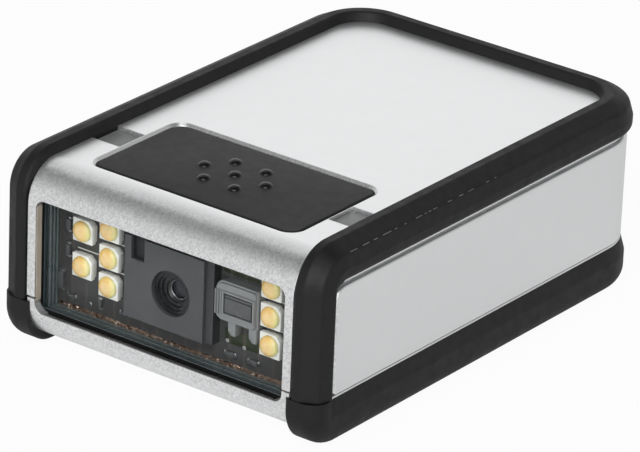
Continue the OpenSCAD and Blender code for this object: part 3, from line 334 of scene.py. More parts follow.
def clear(name, tint, edge):
    """Thin clear plastic: see-through, with a mirror layer that grows towards grazing angles.
    The faces that don't look along Y, where a pane was cut, are opaque in the edge's colour, which is
    a painted reflection of what the cut edge shows."""
    look = Look(name)
    look.tree.nodes.remove(look.shader)
    through = look.add("ShaderNodeBsdfTransparent")
    mirror = look.add("ShaderNodeBsdfGlossy")
    cut = look.add("ShaderNodeBsdfDiffuse")
    fresnel = look.add("ShaderNodeFresnel")
    faint = look.span(look.noise(60.0, 2.0), 0.97, 1.0)
    # The cut faces' colour is a painted reflection, seen where the pane was cut
    look.feed(
        (through.inputs["Color"], look.mix(faint, tuple(0.9 * c for c in tint), tint)),
        (cut.inputs["Color"], look.mix(look.noise(400.0, 3.0), edge, tuple(1.6 * c for c in edge))),
        (mirror.inputs["Roughness"], 0.04),
        (fresnel.inputs["IOR"], 1.45))
    at_cut = look.span(look.math("ABSOLUTE", look.facing("Y")), 1.0, 0.0, start=0.4, end=0.6)
    body = look.blend(at_cut, through.outputs[0], cut.outputs[0])
    grazing = look.span(fresnel.outputs[0], 0.0, 1.0, start=CLEAR_COATING)
    outside = look.span(look.add("ShaderNodeNewGeometry").outputs["Backfacing"], 1.0, 0.0)
    look.show(look.blend(look.math("MULTIPLY", grazing, outside), body, mirror.outputs[0]))
    return look.material


def make_floor():
    """A pale floor that is white to the camera and in reflections, and keeps a soft shadow."""
    look = Look("floor", Roughness=0.9, Specular_IOR_Level=0.1)
    look.put("Base Color", (FLOOR_WHITE,) * 3)
    path = look.add("ShaderNodeLightPath").outputs
    seen = look.math("MAXIMUM", path["Is Camera Ray"], path["Is Transmission Ray"])
    mirrored = look.span(path["Is Glossy Ray"], 0.0, FLOOR_MIRRORED / FLOOR_GLOW)
    share = look.math("MULTIPLY", look.math("MAXIMUM", seen, mirrored), FLOOR_GLOW)
    glow = look.add("ShaderNodeEmission")
    look.feed((glow.inputs["Strength"], 1.0))
    look.show(look.blend(share, look.shader.outputs[0], glow.outputs[0]))
    mesh = bpy.data.meshes.new("floor")
    form = bmesh.new()
    bmesh.ops.create_circle(form, cap_ends=True, segments=FLOOR_SEGMENTS, radius=FLOOR_RADIUS)
    form.to_mesh(mesh)
    form.free()
    mesh.materials.append(look.material)
    floor = bpy.data.objects.new("floor", mesh)
    bpy.context.scene.collection.objects.link(floor)


def make_lights():
    """Area lamps aimed at the part."""
    for name, (place, width, height, power) in LIGHTS.items():
        data = bpy.data.lights.new(name, "AREA")
        data.shape = "RECTANGLE"
        data.size = width
        data.size_y = height
        data.energy = power
        lamp = bpy.data.objects.new(name, data)
        lamp.location = place
        lamp.rotation_mode = "QUATERNION"
        lamp.rotation_quaternion = (LIGHT_AIM - Vector(place)).to_track_quat("-Z", "Y")
        bpy.context.scene.collection.objects.link(lamp)


def make_sky():
    """A sky that darkens upwards, and is plain white to the camera."""
    world = bpy.data.worlds.new("sky")
    world.use_nodes = True
    nodes = Nodes(world.node_tree)
    sky = world.node_tree.nodes["Background"]
    white = nodes.add("ShaderNodeBackground")
    height = nodes.axis(nodes.add("ShaderNodeTexCoord").outputs["Generated"], "Z")
    nodes.feed(
        (sky.inputs["Color"], (1.0, 1.0, 1.0)),
        (sky.inputs["Strength"],
         nodes.span(height, SKY_LOW, SKY_HIGH, start=SKY_LOW_END, end=SKY_HIGH_START)),
        (white.inputs["Color"], (1.0, 1.0, 1.0)))
    to_camera = nodes.add("ShaderNodeLightPath").outputs["Is Camera Ray"]
    both = nodes.blend(to_camera, sky.outputs[0], white.outputs[0])
    nodes.feed((world.node_tree.nodes["World Output"].inputs["Surface"], both))
    bpy.context.scene.world = world


def paint(material, *names):
    """Gives CAD nodes a material."""
    for name in names:
        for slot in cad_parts[name].material_slots:
            slot.material = material


class Form:
    """A mesh drawn in millimetres, with Y counted backwards from the silver front face."""

    def __init__(self):
        self.mesh = bmesh.new()

    def soften(self, verts, radius):
        """Rounds the edges between these vertices."""
        edges = {edge for vert in verts for edge in vert.link_edges}
        bmesh.ops.bevel(self.mesh, geom=list(edges), offset=radius, segments=EDGE_STEPS,
                        profile=0.5, affect="EDGES")

    def block(self, low, high, radius=0.0):
        """A box between two corners."""
        verts = bmesh.ops.create_cube(self.mesh, size=1.0)["verts"]
        for vert in verts:
            vert.co = [a + (b - a) * (c + 0.5) for a, b, c in zip(low, high, vert.co)]
        if radius:
            self.soften(verts, radius)

    def prism(self, outline, front, back, radius=0.0):
        """An outline of X and Z points, carried from Y front to Y back."""
        near = [self.mesh.verts.new((x, front, z)) for x, z in outline]
        far = [self.mesh.verts.new((x, back, z)) for x, z in outline]
        self.mesh.faces.new(near)
        self.mesh.faces.new(reversed(far))
        for i, vert in enumerate(near):
            j = (i + 1) % len(near)
            self.mesh.faces.new((near[j], vert, far[i], far[j]))
        if radius:
            self.soften(near + far, radius)

    def turned(self, profile, place, upright=False, steps=40, closed=False):
        """A profile of radius and height points, turned round a line along Y, or Z if upright."""
        rings = []
        for radius, height in profile:
            ring = []
            for i in range(steps if radius else 1):
                angle = 2 * math.pi * i / steps
                a, b = radius * math.cos(angle), radius * math.sin(angle)
                offset = (a, b, height) if upright else (a, height, b)
                ring.append(self.mesh.verts.new(Vector(place) + Vector(offset)))
            rings.append(ring)
        for one, two in zip(rings, rings[1:] + rings[:1] if closed else rings[1:]):
            for i in range(steps):
                j = (i + 1) % steps
                # A ring of radius 0 is a single vertex
                corners = (one[i % len(one)], one[j % len(one)],
                           two[j % len(two)], two[i % len(two)])
                self.mesh.faces.new(list(dict.fromkeys(corners)))

    def piece(self, name, material, body="scanner", stands_for=()):
        """Turns the form into a piece of the part."""
        bmesh.ops.recalc_face_normals(self.mesh, faces=self.mesh.faces)
        for vert in self.mesh.verts:
            vert.co = vert.co * MM + Vector((0.0, FRONT, 0.0))
        data = bpy.data.meshes.new(name)
        self.mesh.to_mesh(data)
        self.mesh.free()
        data.shade_smooth()
        data.set_sharp_from_angle(angle=SHARP_ANGLE)
        data.materials.append(material)
        made = bpy.data.objects.new(name, data)
        bpy.context.scene.collection.objects.link(made)
        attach(made, body)
        if stands_for:
            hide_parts(*stands_for)


def reach(node):
    """Lowest and highest corner of a CAD node, in a form's millimetres."""
    return [(corner - Vector((0.0, FRONT, 0.0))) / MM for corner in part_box(node)]


def spread(count):
    """Numbers from -1 to 1 that lie closer together towards both ends."""
    return [math.sin(math.pi / 2 * (2 * i / count - 1)) for i in range(count + 1)]


def rounded_outline(x0, x1, z0, z1, radii):
    """Points round a rectangle with a radius at each corner, from lower left and anticlockwise."""
    corners = ((x0, z0, 1, 1, 180), (x1, z0, -1, 1, 270), (x1, z1, -1, -1, 0), (x0, z1, 1, -1, 90))
    points = []
    for (x, z, in_x, in_z, start), radius in zip(corners, radii):
        for i in range(CORNER_STEPS + 1):
            angle = math.radians(start + 90 * i / CORNER_STEPS)
            points.append((x + in_x * radius + radius * math.cos(angle),
                           z + in_z * radius + radius * math.sin(angle)))
    return points


# All sizes below are in millimetres. A depth is counted back from the front of the node that a
# piece sits on, and an edge is the radius of a rounded edge.

# Trigger pad: its corners, the edge rolled over its rim, its crown, how deep its dots, stem and
# hooks go into it, and the columns and rows of its mesh
PAD_R = 1.65
PAD_ROLL_W = 0.35
PAD_ROLL_H = 0.2
PAD_CROWN = 0.45
PAD_EDGE_T = 0.85
PAD_LAP = 0.15
PAD_COLUMNS = 96
PAD_ROWS = 56
# Its dots, each a cap of a ball: rows as a place and a count
DOT_R = 0.92
DOT_H = 0.45
DOT_PITCH_X = 4.8
DOT_PITCH_Y = 3.15
DOT_ROWS = ((-1, 2), (0, 3), (1, 2))
DOT_BANDS = 8
DOT_STEPS = 32
# Its stem and the hooks that hold it down: an arm with a toe that reaches outwards
STEM_R = 2.6
HOOK_X = 11.3
HOOK_Y = 4.6
HOOK_W = 3.0
HOOK_T = 1.0
HOOK_REACH = 0.5
HOOK_H = 0.55
HOOK_LIFT = 0.2
HOOK_LAP = 0.1
HOOK_EDGE = 0.08


def trigger_pad(material, shiny):
    """The crowned pad, its stem and hooks underneath, and seven polished dots on top."""
    low, high = reach("trigger_button")
    middle = (low + high) / 2
    half_w, half_l = (high.x - low.x) / 2, (high.y - low.y) / 2
    edge_z = high.z - DOT_H - PAD_CROWN - PAD_ROLL_H
    under_z = edge_z - PAD_EDGE_T
    joined_z = under_z + PAD_LAP

    def height(x, y):
        """The pad's top at a place counted from its middle."""
        over_x, over_y = abs(x) - half_w + PAD_R, abs(y) - half_l + PAD_R
        inside = (PAD_R - math.hypot(max(over_x, 0.0), max(over_y, 0.0))
                  - min(max(over_x, over_y), 0.0))
        roll = 1 - min(max(inside, 0.0) / PAD_ROLL_W, 1.0)
        crown = (1 - (x / half_w) ** 2) * (1 - (y / half_l) ** 2)
        return edge_z + PAD_ROLL_H * math.sqrt(1 - roll * roll) + PAD_CROWN * crown

    form = Form()
    rows = []
    for v in spread(PAD_ROWS):
        y = v * half_l
        over = max(abs(y) - half_l + PAD_R, 0.0)
        width = half_w - PAD_R + math.sqrt(max(PAD_R * PAD_R - over * over, 0.0))
        rows.append([form.mesh.verts.new((middle.x + u * width, middle.y + y, height(u * width, y)))
                     for u in spread(PAD_COLUMNS)])
    for one, two in zip(rows, rows[1:]):
        for i in range(len(one) - 1):
            form.mesh.faces.new((one[i], one[i + 1], two[i + 1], two[i]))
    rim = (rows[0] + [row[-1] for row in rows[1:]]
           + rows[-1][-2::-1] + [row[0] for row in rows[-2:0:-1]])
    foot = [form.mesh.verts.new((vert.co.x, vert.co.y, under_z)) for vert in rim]
    for i, vert in enumerate(rim):
        j = (i + 1) % len(rim)
        form.mesh.faces.new((rim[j], vert, foot[i], foot[j]))
    form.mesh.faces.new(foot)

    form.turned([(0.0, low.z), (STEM_R, low.z), (STEM_R, joined_z), (0.0, joined_z)],
                (middle.x, middle.y, 0.0), upright=True)
    hook_z = low.z + HOOK_LIFT
    hook_out = HOOK_Y + HOOK_T
    for side in (-1, 1):
        for way in (-1, 1):
            x = middle.x + side * HOOK_X
            for start, end, top in ((HOOK_Y, hook_out, joined_z),
                                    (hook_out - HOOK_LAP, hook_out + HOOK_REACH, hook_z + HOOK_H)):
                ends = sorted((middle.y + way * start, middle.y + way * end))
                form.block((x - HOOK_W / 2, ends[0], hook_z), (x + HOOK_W / 2, ends[1], top),
                           HOOK_EDGE)
    form.piece("trigger_pad", material, "trigger", ["trigger_button"])

    form = Form()
    ball = (DOT_R ** 2 + DOT_H ** 2) / (2 * DOT_H)
    turn = math.asin(DOT_R / ball)
    cap = [(ball * math.sin(turn * i / DOT_BANDS),
            ball * (math.cos(turn * i / DOT_BANDS) - math.cos(turn)))
           for i in range(DOT_BANDS + 1)]
    for row, count in DOT_ROWS:
        for i in range(count):
            x, y = (i - (count - 1) / 2) * DOT_PITCH_X, row * DOT_PITCH_Y
            form.turned(cap + [(DOT_R, -PAD_LAP), (0.0, -PAD_LAP)],
                        (middle.x + x, middle.y + y, height(x, y)), upright=True, steps=DOT_STEPS)
    form.piece("trigger_dots", shiny, "trigger")


# Lamp package: its cut corner, its front step, the inset and lap of the step behind, its edge,
# and how far its face lies behind the node's
LAMP_CUT = 0.68
LAMP_STEP = 0.75
LAMP_BACK_INSET = 0.16
LAMP_LAP = 0.05
LAMP_EDGE = 0.07
LAMP_SET_BACK = 0.05
# Its lens: how far the tip stands before the node's, a power of 1 for an ellipse and less for a
# fuller dome, the depth of its foot, and degrees between the bands of its mesh
LENS_R = 1.38
LENS_TIP = 0.14
LENS_FULL = 0.86
LENS_SUNK = 0.04
LENS_BAND = 6
# The ring round the lens: its inner and outer side, counted from the lens, its height, how much
# its foot spreads, and the foot's depth
RING_GAP = 0.03
RING_W = 0.08
RING_H = 0.07
RING_SPREAD = 0.05
RING_SUNK = 0.05


def lamps(package, amber):
    """Eight lamps: a square stepped package with one cut corner, and a domed lens in a ring."""
    for i in range(1, 9):
        low, high = reach("lamp_%d" % i)
        x, z = (low.x + high.x) / 2, (low.z + high.z) / 2
        face = low.y + LAMP_SET_BACK
        form = Form()
        for front, back, inset in ((face, face + LAMP_STEP, 0.0),
                                   (face + LAMP_STEP - LAMP_LAP, high.y, LAMP_BACK_INSET)):
            h = (high.x - low.x) / 2 - inset
            outline = [(-h, -h), (h, -h), (h, h - LAMP_CUT), (h - LAMP_CUT, h), (-h, h)]
            form.prism([(x + a, z + b) for a, b in outline], front, back, LAMP_EDGE)
        form.turned([(LENS_R + RING_GAP, RING_SUNK), (LENS_R + RING_GAP, -RING_H),
                     (LENS_R + RING_W, -RING_H), (LENS_R + RING_W + RING_SPREAD, RING_SUNK)],
                    (x, face, z), closed=True)
        form.piece("lamp_package_%d" % i, package, stands_for=["lamp_%d" % i])

        tip = reach("lamp_dome_%d" % i)[0].y - LENS_TIP - face
        turns = [math.radians(a) for a in range(0, 90, LENS_BAND)]
        form = Form()
        form.turned([(0.0, LENS_SUNK), (LENS_R, LENS_SUNK)]
                    + [(LENS_R * math.cos(a) ** LENS_FULL, tip * math.sin(a) ** LENS_FULL)
                       for a in turns]
                    + [(0.0, tip)], (x, face, z))
        form.piece("lamp_lens_%d" % i, amber, stands_for=["lamp_dome_%d" % i])


# Aiming lens: the cover's height without its legs, and how far it goes past the node's right side
AIMER_H = 5.3
AIMER_PAST = 0.15
# The cover's layers: insets at its left, its right and both ends, corner radii from lower left,
# depth of its front and back (None is the node's back), and edge
AIMER_LAYERS = (
    ((0.0, 0.0, 0.0), (0.9, 0.4, 0.4, 1.3), 0.55, None, 0.2),
    ((0.25, 0.3, 0.25), (0.7, 0.3, 0.3, 1.1), 0.25, 0.7, 0.14),
)
# Its window, as insets at left, right, bottom and top, and the bars round the window
AIMER_WINDOW = (1.6, 0.6, 1.2, 1.4)
AIMER_BAR = 0.26
AIMER_BAR_T = 0.35
AIMER_BAR_EDGE = 0.07
# Ribs beside the window, with their insets at bottom and top
RIB_COUNT = 3
RIB_START = 0.25
RIB_PITCH = 0.4
RIB_W = 0.19
RIB_T = 0.4
RIB_ENDS = (0.85, 1.15)
RIB_EDGE = 0.08
# Legs: places from the left, width, the slanted cut at the foot, lap into the cover, and front
LEG_PLACES = (2.0, 5.2)
LEG_W = 1.2
LEG_FOOT = (0.55, 1.15)
LEG_CUT = 0.5
LEG_LAP = 0.2
LEG_FRONT = 0.6
LEG_EDGE = 0.1
# Pane in two parts and a dark block behind it that paints the shade in the gap: the gap round the
# pane, how far below the window's top the upper part ends and the lower starts, their fronts, back
# and edge, and the dark block's lap behind the bars and its depths
PANE_GAP = 0.2
PANE_SPLIT = (0.52, 0.6)
PANE_FRONTS = (0.12, 0.05)
PANE_BACK = 0.3
PANE_EDGE = 0.04
SHADE_BLOCK_LAP = 0.05
SHADE_BLOCK_DEPTHS = (0.2, 0.28)


def aimer_cover(smoke, pane, dark):
    """The smoky aiming lens: a cover with ribs at its left end, a framed window and two legs."""
    low, high = reach("aimer_lens")
    right = high.x + AIMER_PAST
    bottom = high.z - AIMER_H
    form = Form()
    for (inset_left, inset_right, inset_end), radii, front, back, edge in AIMER_LAYERS:
        outline = rounded_outline(low.x + inset_left, right - inset_right,
                                  bottom + inset_end, high.z - inset_end, radii)
        form.prism(outline, low.y + front, high.y if back is None else low.y + back, edge)
    x0, x1 = low.x + AIMER_WINDOW[0], right - AIMER_WINDOW[1]
    z0, z1 = bottom + AIMER_WINDOW[2], high.z - AIMER_WINDOW[3]
    for left, end, foot, top in (
            (x0 - AIMER_BAR, x0, z0 - AIMER_BAR, z1 + AIMER_BAR),
            (x1, x1 + AIMER_BAR, z0 - AIMER_BAR, z1 + AIMER_BAR),
            (x0, x1, z0 - AIMER_BAR, z0), (x0, x1, z1, z1 + AIMER_BAR)):
        form.block((left, low.y, foot), (end, low.y + AIMER_BAR_T, top), AIMER_BAR_EDGE)
    for i in range(RIB_COUNT):
        x = low.x + RIB_START + RIB_PITCH * i
        form.block((x, low.y, bottom + RIB_ENDS[0]),
                   (x + RIB_W, low.y + RIB_T, high.z - RIB_ENDS[1]), RIB_EDGE)
    for x in (low.x + place for place in LEG_PLACES):
        form.prism([(x, low.z + LEG_CUT), (x + LEG_FOOT[0], low.z), (x + LEG_FOOT[1], low.z),
                    (x + LEG_W, bottom + LEG_LAP), (x, bottom + LEG_LAP)],
                   low.y + LEG_FRONT, high.y, LEG_EDGE)
    form.piece("aimer_cover", smoke, stands_for=["aimer_lens"])

    form = Form()
    form.block((x0 + PANE_GAP, low.y + PANE_FRONTS[1], z0 + PANE_GAP),
               (x1 - PANE_GAP, low.y + PANE_BACK, z1 - PANE_SPLIT[1]), PANE_EDGE)
    form.block((x0 + PANE_GAP, low.y + PANE_FRONTS[0], z1 - PANE_SPLIT[0]),
               (x1 - PANE_GAP, low.y + PANE_BACK, z1 - PANE_GAP), PANE_EDGE)
    form.piece("aimer_pane", pane)

    # A dark block behind the pane: painted shade in the gap round it
    form = Form()
    form.block((x0 - SHADE_BLOCK_LAP, low.y + SHADE_BLOCK_DEPTHS[0], z0 - SHADE_BLOCK_LAP),
               (x1 + SHADE_BLOCK_LAP, low.y + SHADE_BLOCK_DEPTHS[1], z1 + SHADE_BLOCK_LAP))
    form.piece("aimer_painted_shade", dark)


# Ring round the front lens: its radius, half its thickness, and the points of its section
LENS_RING_R = 1.3
LENS_RING_T = 0.16
LENS_RING_POINTS = 12


def lens_ring(material):
    """The polished ring that holds the front lens in its barrel."""
    low, high = reach("front_lens")
    middle = (low + high) / 2
    turns = [2 * math.pi * i / LENS_RING_POINTS for i in range(LENS_RING_POINTS)]
    form = Form()
    form.turned([(LENS_RING_R + LENS_RING_T * math.cos(a), LENS_RING_T * math.sin(a))
                 for a in turns], (middle.x, low.y, middle.z), closed=True)
    form.piece("lens_ring", material)


# Small parts on the lamp board: X, Z, width, height and thickness of each, their edge, and how
# deep they go into the board
BOARD_PARTS = (
    (-18.6, 8.8, 0.9, 2.3, 0.6), (-17.0, 6.9, 1.1, 0.6, 0.35), (-12.4, 7.3, 0.6, 1.1, 0.35),
    (-8.4, 7.2, 1.2, 0.6, 0.35), (-17.6, 16.6, 0.7, 1.5, 0.5), (-17.6, 13.2, 0.7, 1.5, 0.5),
    (-12.6, 19.9, 1.3, 0.6, 0.35), (8.2, 7.0, 1.3, 0.7, 0.4), (11.8, 7.0, 1.3, 0.7, 0.4),
    (17.8, 12.2, 0.8, 1.6, 0.5), (17.8, 16.3, 0.8, 1.6, 0.5), (8.4, 19.0, 1.6, 0.7, 0.45),
)
PART_EDGE = 0.06
PART_SUNK = 0.05
# The solder at both ends of a part: place of its middle past the end, half its width, its share
# of the part's thickness, and edge
SOLDER_OUT = 0.12
SOLDER_HALF_W = 0.16
SOLDER_SHARE = 0.6
SOLDER_EDGE = 0.04
# Round pads: X and Z of each, and radius and depth of a pad's section
BOARD_DOTS = ((-16.6, 19.4), (-7.7, 19.7), (7.6, 8.6), (13.0, 19.6), (-14.2, 6.6), (10.2, 8.4))
BOARD_DOT_PROFILE = [(0.0, -0.06), (0.26, -0.06), (0.32, 0.02), (0.0, 0.02)]
BOARD_DOT_STEPS = 20
# Printed lines over and beside each lamp: width, thickness, depth, how far the upper line ends
# above the lamp and passes its sides, and the other line's gap and length
MARK_W = 0.14
MARK_T = 0.03
MARK_SUNK = 0.02
MARK_TOP = 0.26
MARK_PAST = 0.1
MARK_GAP = 0.16
MARK_DOWN = 0.9
# Green patches: left, bottom, right and top of each, thickness, depth and edge
BOARD_PATCHES = ((7.2, 8.3, 13.2, 10.3), (6.7, 17.6, 13.2, 20.4))
PATCH_T = 0.04
PATCH_SUNK = 0.02
PATCH_EDGE = 0.02
# The board's rough foot: sections along it, its inset at both ends, its place above the board's
# foot, its height at the front and at the board, how the height varies, how proud it stands, the
# share of that at its top, and its depth
FOOT_SECTIONS = 150
FOOT_END = 0.8
FOOT_Z = 0.27
FOOT_H = 0.28
FOOT_BACK_H = 0.42
FOOT_VARIES = (-0.08, 0.1)
FOOT_PROUD = (0.1, 0.3)
FOOT_TOP_SHARE = 0.8
FOOT_SUNK = 0.02


def board_detail(dark, tin, white, copper, green):
    """Small parts, pads and plain marks on the lamp board, and the rough edge along its foot."""
    low, high = reach("lamp_board")
    face = low.y
    form = Form()
    for x, z, w, h, t in BOARD_PARTS:
        form.block((x - w / 2, face - t, z - h / 2), (x + w / 2, face + PART_SUNK, z + h / 2),
                   PART_EDGE)
    form.piece("board_chips", dark)

    form = Form()
    for x, z, w, h, t in BOARD_PARTS:
        wide = w > h
        out = (w if wide else h) / 2 + SOLDER_OUT
        half_w, half_h = (SOLDER_HALF_W, h / 2) if wide else (w / 2, SOLDER_HALF_W)
        for side in (-1, 1):
            at_x, at_z = (x + side * out, z) if wide else (x, z + side * out)
            form.block((at_x - half_w, face - SOLDER_SHARE * t, at_z - half_h),
                       (at_x + half_w, face + PART_SUNK, at_z + half_h), SOLDER_EDGE)
    for x, z in BOARD_DOTS:
        form.turned(BOARD_DOT_PROFILE, (x, face, z), steps=BOARD_DOT_STEPS)
    form.piece("board_pads", tin)

    form = Form()
    for i in range(1, 9):
        a, b = reach("lamp_%d" % i)
        top, left = b.z + MARK_TOP, b.x + MARK_GAP
        form.block((a.x - MARK_PAST, face - MARK_T, top - MARK_W),
                   (b.x + MARK_PAST, face + MARK_SUNK, top))
        form.block((left, face - MARK_T, b.z - MARK_DOWN), (left + MARK_W, face + MARK_SUNK, top))
    form.piece("board_marks", white)

    form = Form()
    for left, foot, right, top in BOARD_PATCHES:
        form.block((left, face - PATCH_T, foot), (right, face + PATCH_SUNK, top), PATCH_EDGE)
    form.piece("board_patches", green)

    draw = random.Random(7)
    form = Form()
    start, end = low.x + FOOT_END, high.x - FOOT_END
    foot = low.z + FOOT_Z
    last = None
    for i in range(FOOT_SECTIONS + 1):
        x = start + (end - start) * i / FOOT_SECTIONS
        varies, proud = draw.uniform(*FOOT_VARIES), draw.uniform(*FOOT_PROUD)
        section = ((-FOOT_SUNK, foot), (proud, foot),
                   (proud * FOOT_TOP_SHARE, foot + FOOT_H + varies),
                   (-FOOT_SUNK, foot + FOOT_BACK_H + varies))
        ring = [form.mesh.verts.new((x, face - y, z)) for y, z in section]
        if last:
            for k in range(4):
                m = (k + 1) % 4
                form.mesh.faces.new((last[k], ring[k], ring[m], last[m]))
        else:
            form.mesh.faces.new(ring)
        last = ring
    form.mesh.faces.new(last)
    form.piece("board_foot", copper)


# The window opening in the front: half its width, and the height of its lower edge
WINDOW_X = 19.45
WINDOW_Z = 5.45
# The cheeks: how proud of the opening's sides and how deep in them, the depth of their front
# behind the silver front, and insets from the frame's foot and top
CHEEK_PROUD = 0.04
CHEEK_SUNK = 0.02
CHEEK_FRONT = 0.3
CHEEK_FOOT = 1.9
CHEEK_TOP = 1.5
# Ridges on the frame's floor: depth, width and height of each, the floor's height over the
# frame's foot, their inset at both ends, and edge
RIDGES = ((0.55, 0.22, 0.1), (1.35, 0.14, 0.07))
RIDGE_FLOOR = 0.25
RIDGE_END = 0.6
RIDGE_EDGE = 0.03
# The light line under the pane, painted light for the pane's lower edge: its foot and top over the
# opening's edge, how far it goes before and behind the gasket's back, its inset at both ends, and
# edge
LINE_Z = (0.04, 0.26)
LINE_Y = (-0.06, 0.02)
LINE_END = 0.6
LINE_EDGE = 0.02


def window_trim(tan, dark, edge):
    """Tan plates on the window opening's sides, ridges on the frame, and a light line under the pane
    that paints the light of its lower edge.
    """
    low, high = reach("window_gasket")
    frame_low, frame_high = reach("window_frame")
    form = Form()
    # Tan plates on both sides of the window opening
    for side in (-1, 1):
        inner, outer = sorted((side * (WINDOW_X - CHEEK_PROUD), side * (WINDOW_X + CHEEK_SUNK)))
        form.block((inner, CHEEK_FRONT, frame_low.z + CHEEK_FOOT),
                   (outer, low.y, frame_high.z - CHEEK_TOP))
    form.piece("window_cheeks", tan)

    form = Form()
    floor_z = frame_low.z + RIDGE_FLOOR
    for depth, w, h in RIDGES:
        y = frame_low.y + depth
        form.block((frame_low.x + RIDGE_END, y, floor_z),
                   (frame_high.x - RIDGE_END, y + w, floor_z + h), RIDGE_EDGE)
    form.piece("frame_ridges", dark)

    # Painted light: a light strip where the pane's lower edge shows light
    form = Form()
    form.block((low.x + LINE_END, high.y + LINE_Y[0], WINDOW_Z + LINE_Z[0]),
               (high.x - LINE_END, high.y + LINE_Y[1], WINDOW_Z + LINE_Z[1]), LINE_EDGE)
    form.piece("pane_edge_painted_light", edge)


# Broken slivers of flash along the crease of the right bumper, in a light grey that is a painted
# highlight: place of the crease, half their width, and where along Y they start and end
FLASH_X = 24.40
FLASH_Z = 25.09
FLASH_W = 0.04
FLASH_START = 6.0
FLASH_END = 37.0
# Their lengths, the share of the half width that a sliver stands up, the gaps between them, and
# how much the lengths shrink and the gaps grow towards the rear
FLASH_LENGTHS = (0.5, 2.4)
FLASH_LIFTS = (0.5, 1.0)
FLASH_GAPS = (0.15, 1.2)
FLASH_SHRINK = 0.7
FLASH_GROW = 2.0


def crease_flash_highlight(material):
    """Thin slivers at the mould's parting line, shorter and further apart to the rear, in a light
    grey that paints the crease's highlight.
    """
    draw = random.Random(11)
    form = Form()
    left, right = FLASH_X - FLASH_W, FLASH_X + FLASH_W
    foot, top = FLASH_Z - FLASH_W, FLASH_Z + FLASH_W
    y = FLASH_START
    while y < FLASH_END:
        fade = (y - FLASH_START) / (FLASH_END - FLASH_START)
        length = draw.uniform(*FLASH_LENGTHS) * (1.0 - FLASH_SHRINK * fade)
        lift = draw.uniform(*FLASH_LIFTS) * FLASH_W
        form.prism([(left, foot), (right, foot), (FLASH_X + lift, FLASH_Z + lift), (left, top)],
                   y, y + length)
        y += length + draw.uniform(*FLASH_GAPS) * (1.0 + FLASH_GROW * fade)
    form.piece("crease_flash_highlight", material)


make_camera()
make_floor()
make_lights()
make_sky()

package = moulded("lamp_package", (0.88, 0.87, 0.82), (0.93, 0.92, 0.88), rough=(0.35, 0.5))
dark_plastic = moulded("dark_plastic", (0.078, 0.078, 0.082), (0.088, 0.088, 0.092), depth=0.004)
steel = metal("steel", (0.50, 0.51, 0.52), (0.66, 0.67, 0.68))

paint(silver_paint(), "upper_housing", "lower_housing")
paint(moulded("bumper_rubber", (0.0045, 0.0045, 0.005), (0.0065, 0.0065, 0.007),
              rough=(0.5, 0.62), edge=0.2, Specular_IOR_Level=0.33),
      "upper_bumper", "lower_bumper")
# The camera housing's wings, 2.9 mm and more behind its face, get painted shade
paint(moulded("camera_plastic", (0.078, 0.078, 0.082), (0.088, 0.088, 0.092), depth=0.004,
              shade_depth=2.9), "camera_housing")
paint(dark_plastic, "cable_socket", "switch_plunger", "board_link", "processor", "memory_chip",
      "beeper")
paint(moulded("barrel_plastic", (0.016, 0.016, 0.017), (0.021, 0.021, 0.022), depth=0.002,
              rough=(0.26, 0.34)), "lens_barrel")
paint(moulded("frame_plastic", (0.075, 0.094, 0.098), (0.105, 0.125, 0.128), rough=(0.25, 0.4)),
      "window_frame")
paint(moulded("gasket", (0.004, 0.004, 0.004), (0.006, 0.006, 0.006), Specular_IOR_Level=0.1),
      "window_gasket")
paint(moulded("light_bar", (0.18, 0.185, 0.185), (0.21, 0.215, 0.215), rough=(0.3, 0.4)),
      "status_light_bar")
paint(package, "aimer_lamp", "status_lamp_left", "status_lamp_right", "flex_connector")
paint(moulded("flex_film", (0.35, 0.16, 0.03), (0.45, 0.22, 0.05)), "flex_cable")
paint(circuit_board("lamp_board", (0.062, 0.060, 0.060), (0.080, 0.075, 0.070)), "lamp_board")
paint(circuit_board("circuit_board", (0.012, 0.035, 0.018), (0.02, 0.06, 0.03)),
      "main_board", "switch_board", "sensor_board")
paint(steel, "switch_body", "image_sensor", "engine_screws", "board_screws", "housing_screws")
paint(metal("gold_contact", (0.70, 0.48, 0.18), (0.85, 0.62, 0.27)), "socket_contacts")
paint(metal("brass_insert", (0.60, 0.43, 0.18), (0.75, 0.56, 0.26)), "mounting_inserts")
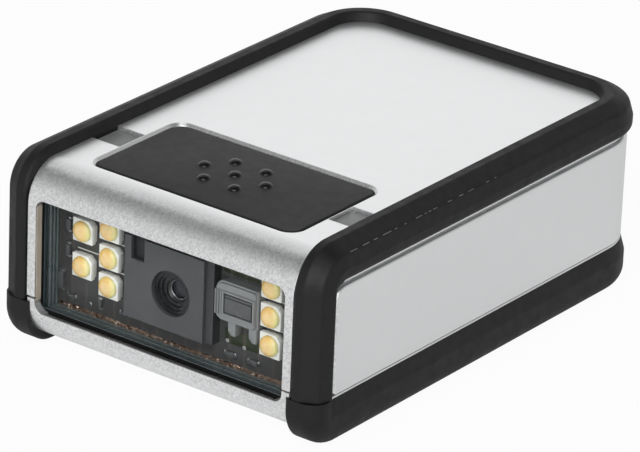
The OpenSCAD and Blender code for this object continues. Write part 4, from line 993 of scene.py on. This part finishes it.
# The pane's cut faces show a painted reflection in this teal
paint(clear("window_clear", (0.97, 0.98, 0.98), edge=(0.085, 0.12, 0.135)), "window_pane")
paint(moulded("coated_glass", (0.022, 0.022, 0.028), (0.030, 0.030, 0.038), depth=0.0005,
              rough=(0.06, 0.09)), "front_lens", "rear_lens")

trigger_pad(moulded("trigger_pad", (0.0056, 0.0056, 0.006), (0.0066, 0.0066, 0.007),
                    rough=(0.48, 0.53), Specular_IOR_Level=0.3),
            moulded("polished_rubber", (0.004, 0.004, 0.0045), (0.006, 0.006, 0.0065),
                    depth=0.002, rough=(0.2, 0.26), Specular_IOR_Level=0.6))
lamps(package, amber_lens())
aimer_cover(moulded("smoky_plastic", (0.22, 0.223, 0.227), (0.26, 0.264, 0.268), depth=0.002,
                    rough=(0.08, 0.13), Specular_IOR_Level=1.0),
            moulded("smoky_pane", (0.095, 0.095, 0.10), (0.108, 0.108, 0.112), depth=0.002,
                    rough=(0.2, 0.3)),
            # Painted shade behind the aimer pane
            moulded("aimer_painted_shade", (0.012, 0.012, 0.013), (0.016, 0.016, 0.017), rough=(0.4, 0.5)))
lens_ring(metal("black_chrome", (0.20, 0.20, 0.21), (0.26, 0.26, 0.27), rough=(0.08, 0.12)))
board_detail(dark_plastic, steel,
             moulded("board_print", (0.62, 0.62, 0.58), (0.75, 0.75, 0.70)),
             metal("board_foot", (0.28, 0.12, 0.07), (0.98, 0.76, 0.62), scale=1500.0),
             circuit_board("green_board", (0.035, 0.042, 0.024), (0.066, 0.064, 0.040)))
# The slivers' light grey is a painted highlight along the bumper's crease
crease_flash_highlight(moulded("flash_painted_highlight", (0.06, 0.06, 0.06), (0.13, 0.13, 0.13), rough=(0.4, 0.5)))
# Tan plates on the window opening's sides
window_trim(moulded("tan_cheek", (0.36, 0.31, 0.25), (0.44, 0.39, 0.32)),
            moulded("frame_ridge", (0.12, 0.145, 0.15), (0.15, 0.175, 0.18), rough=(0.2, 0.3)),
            # Painted light for the pane's lower edge
            moulded("pane_edge_painted_light", (0.11, 0.13, 0.135), (0.16, 0.18, 0.185), rough=(0.2, 0.3)))

scene = bpy.context.scene
scene.view_settings.view_transform = "Standard"
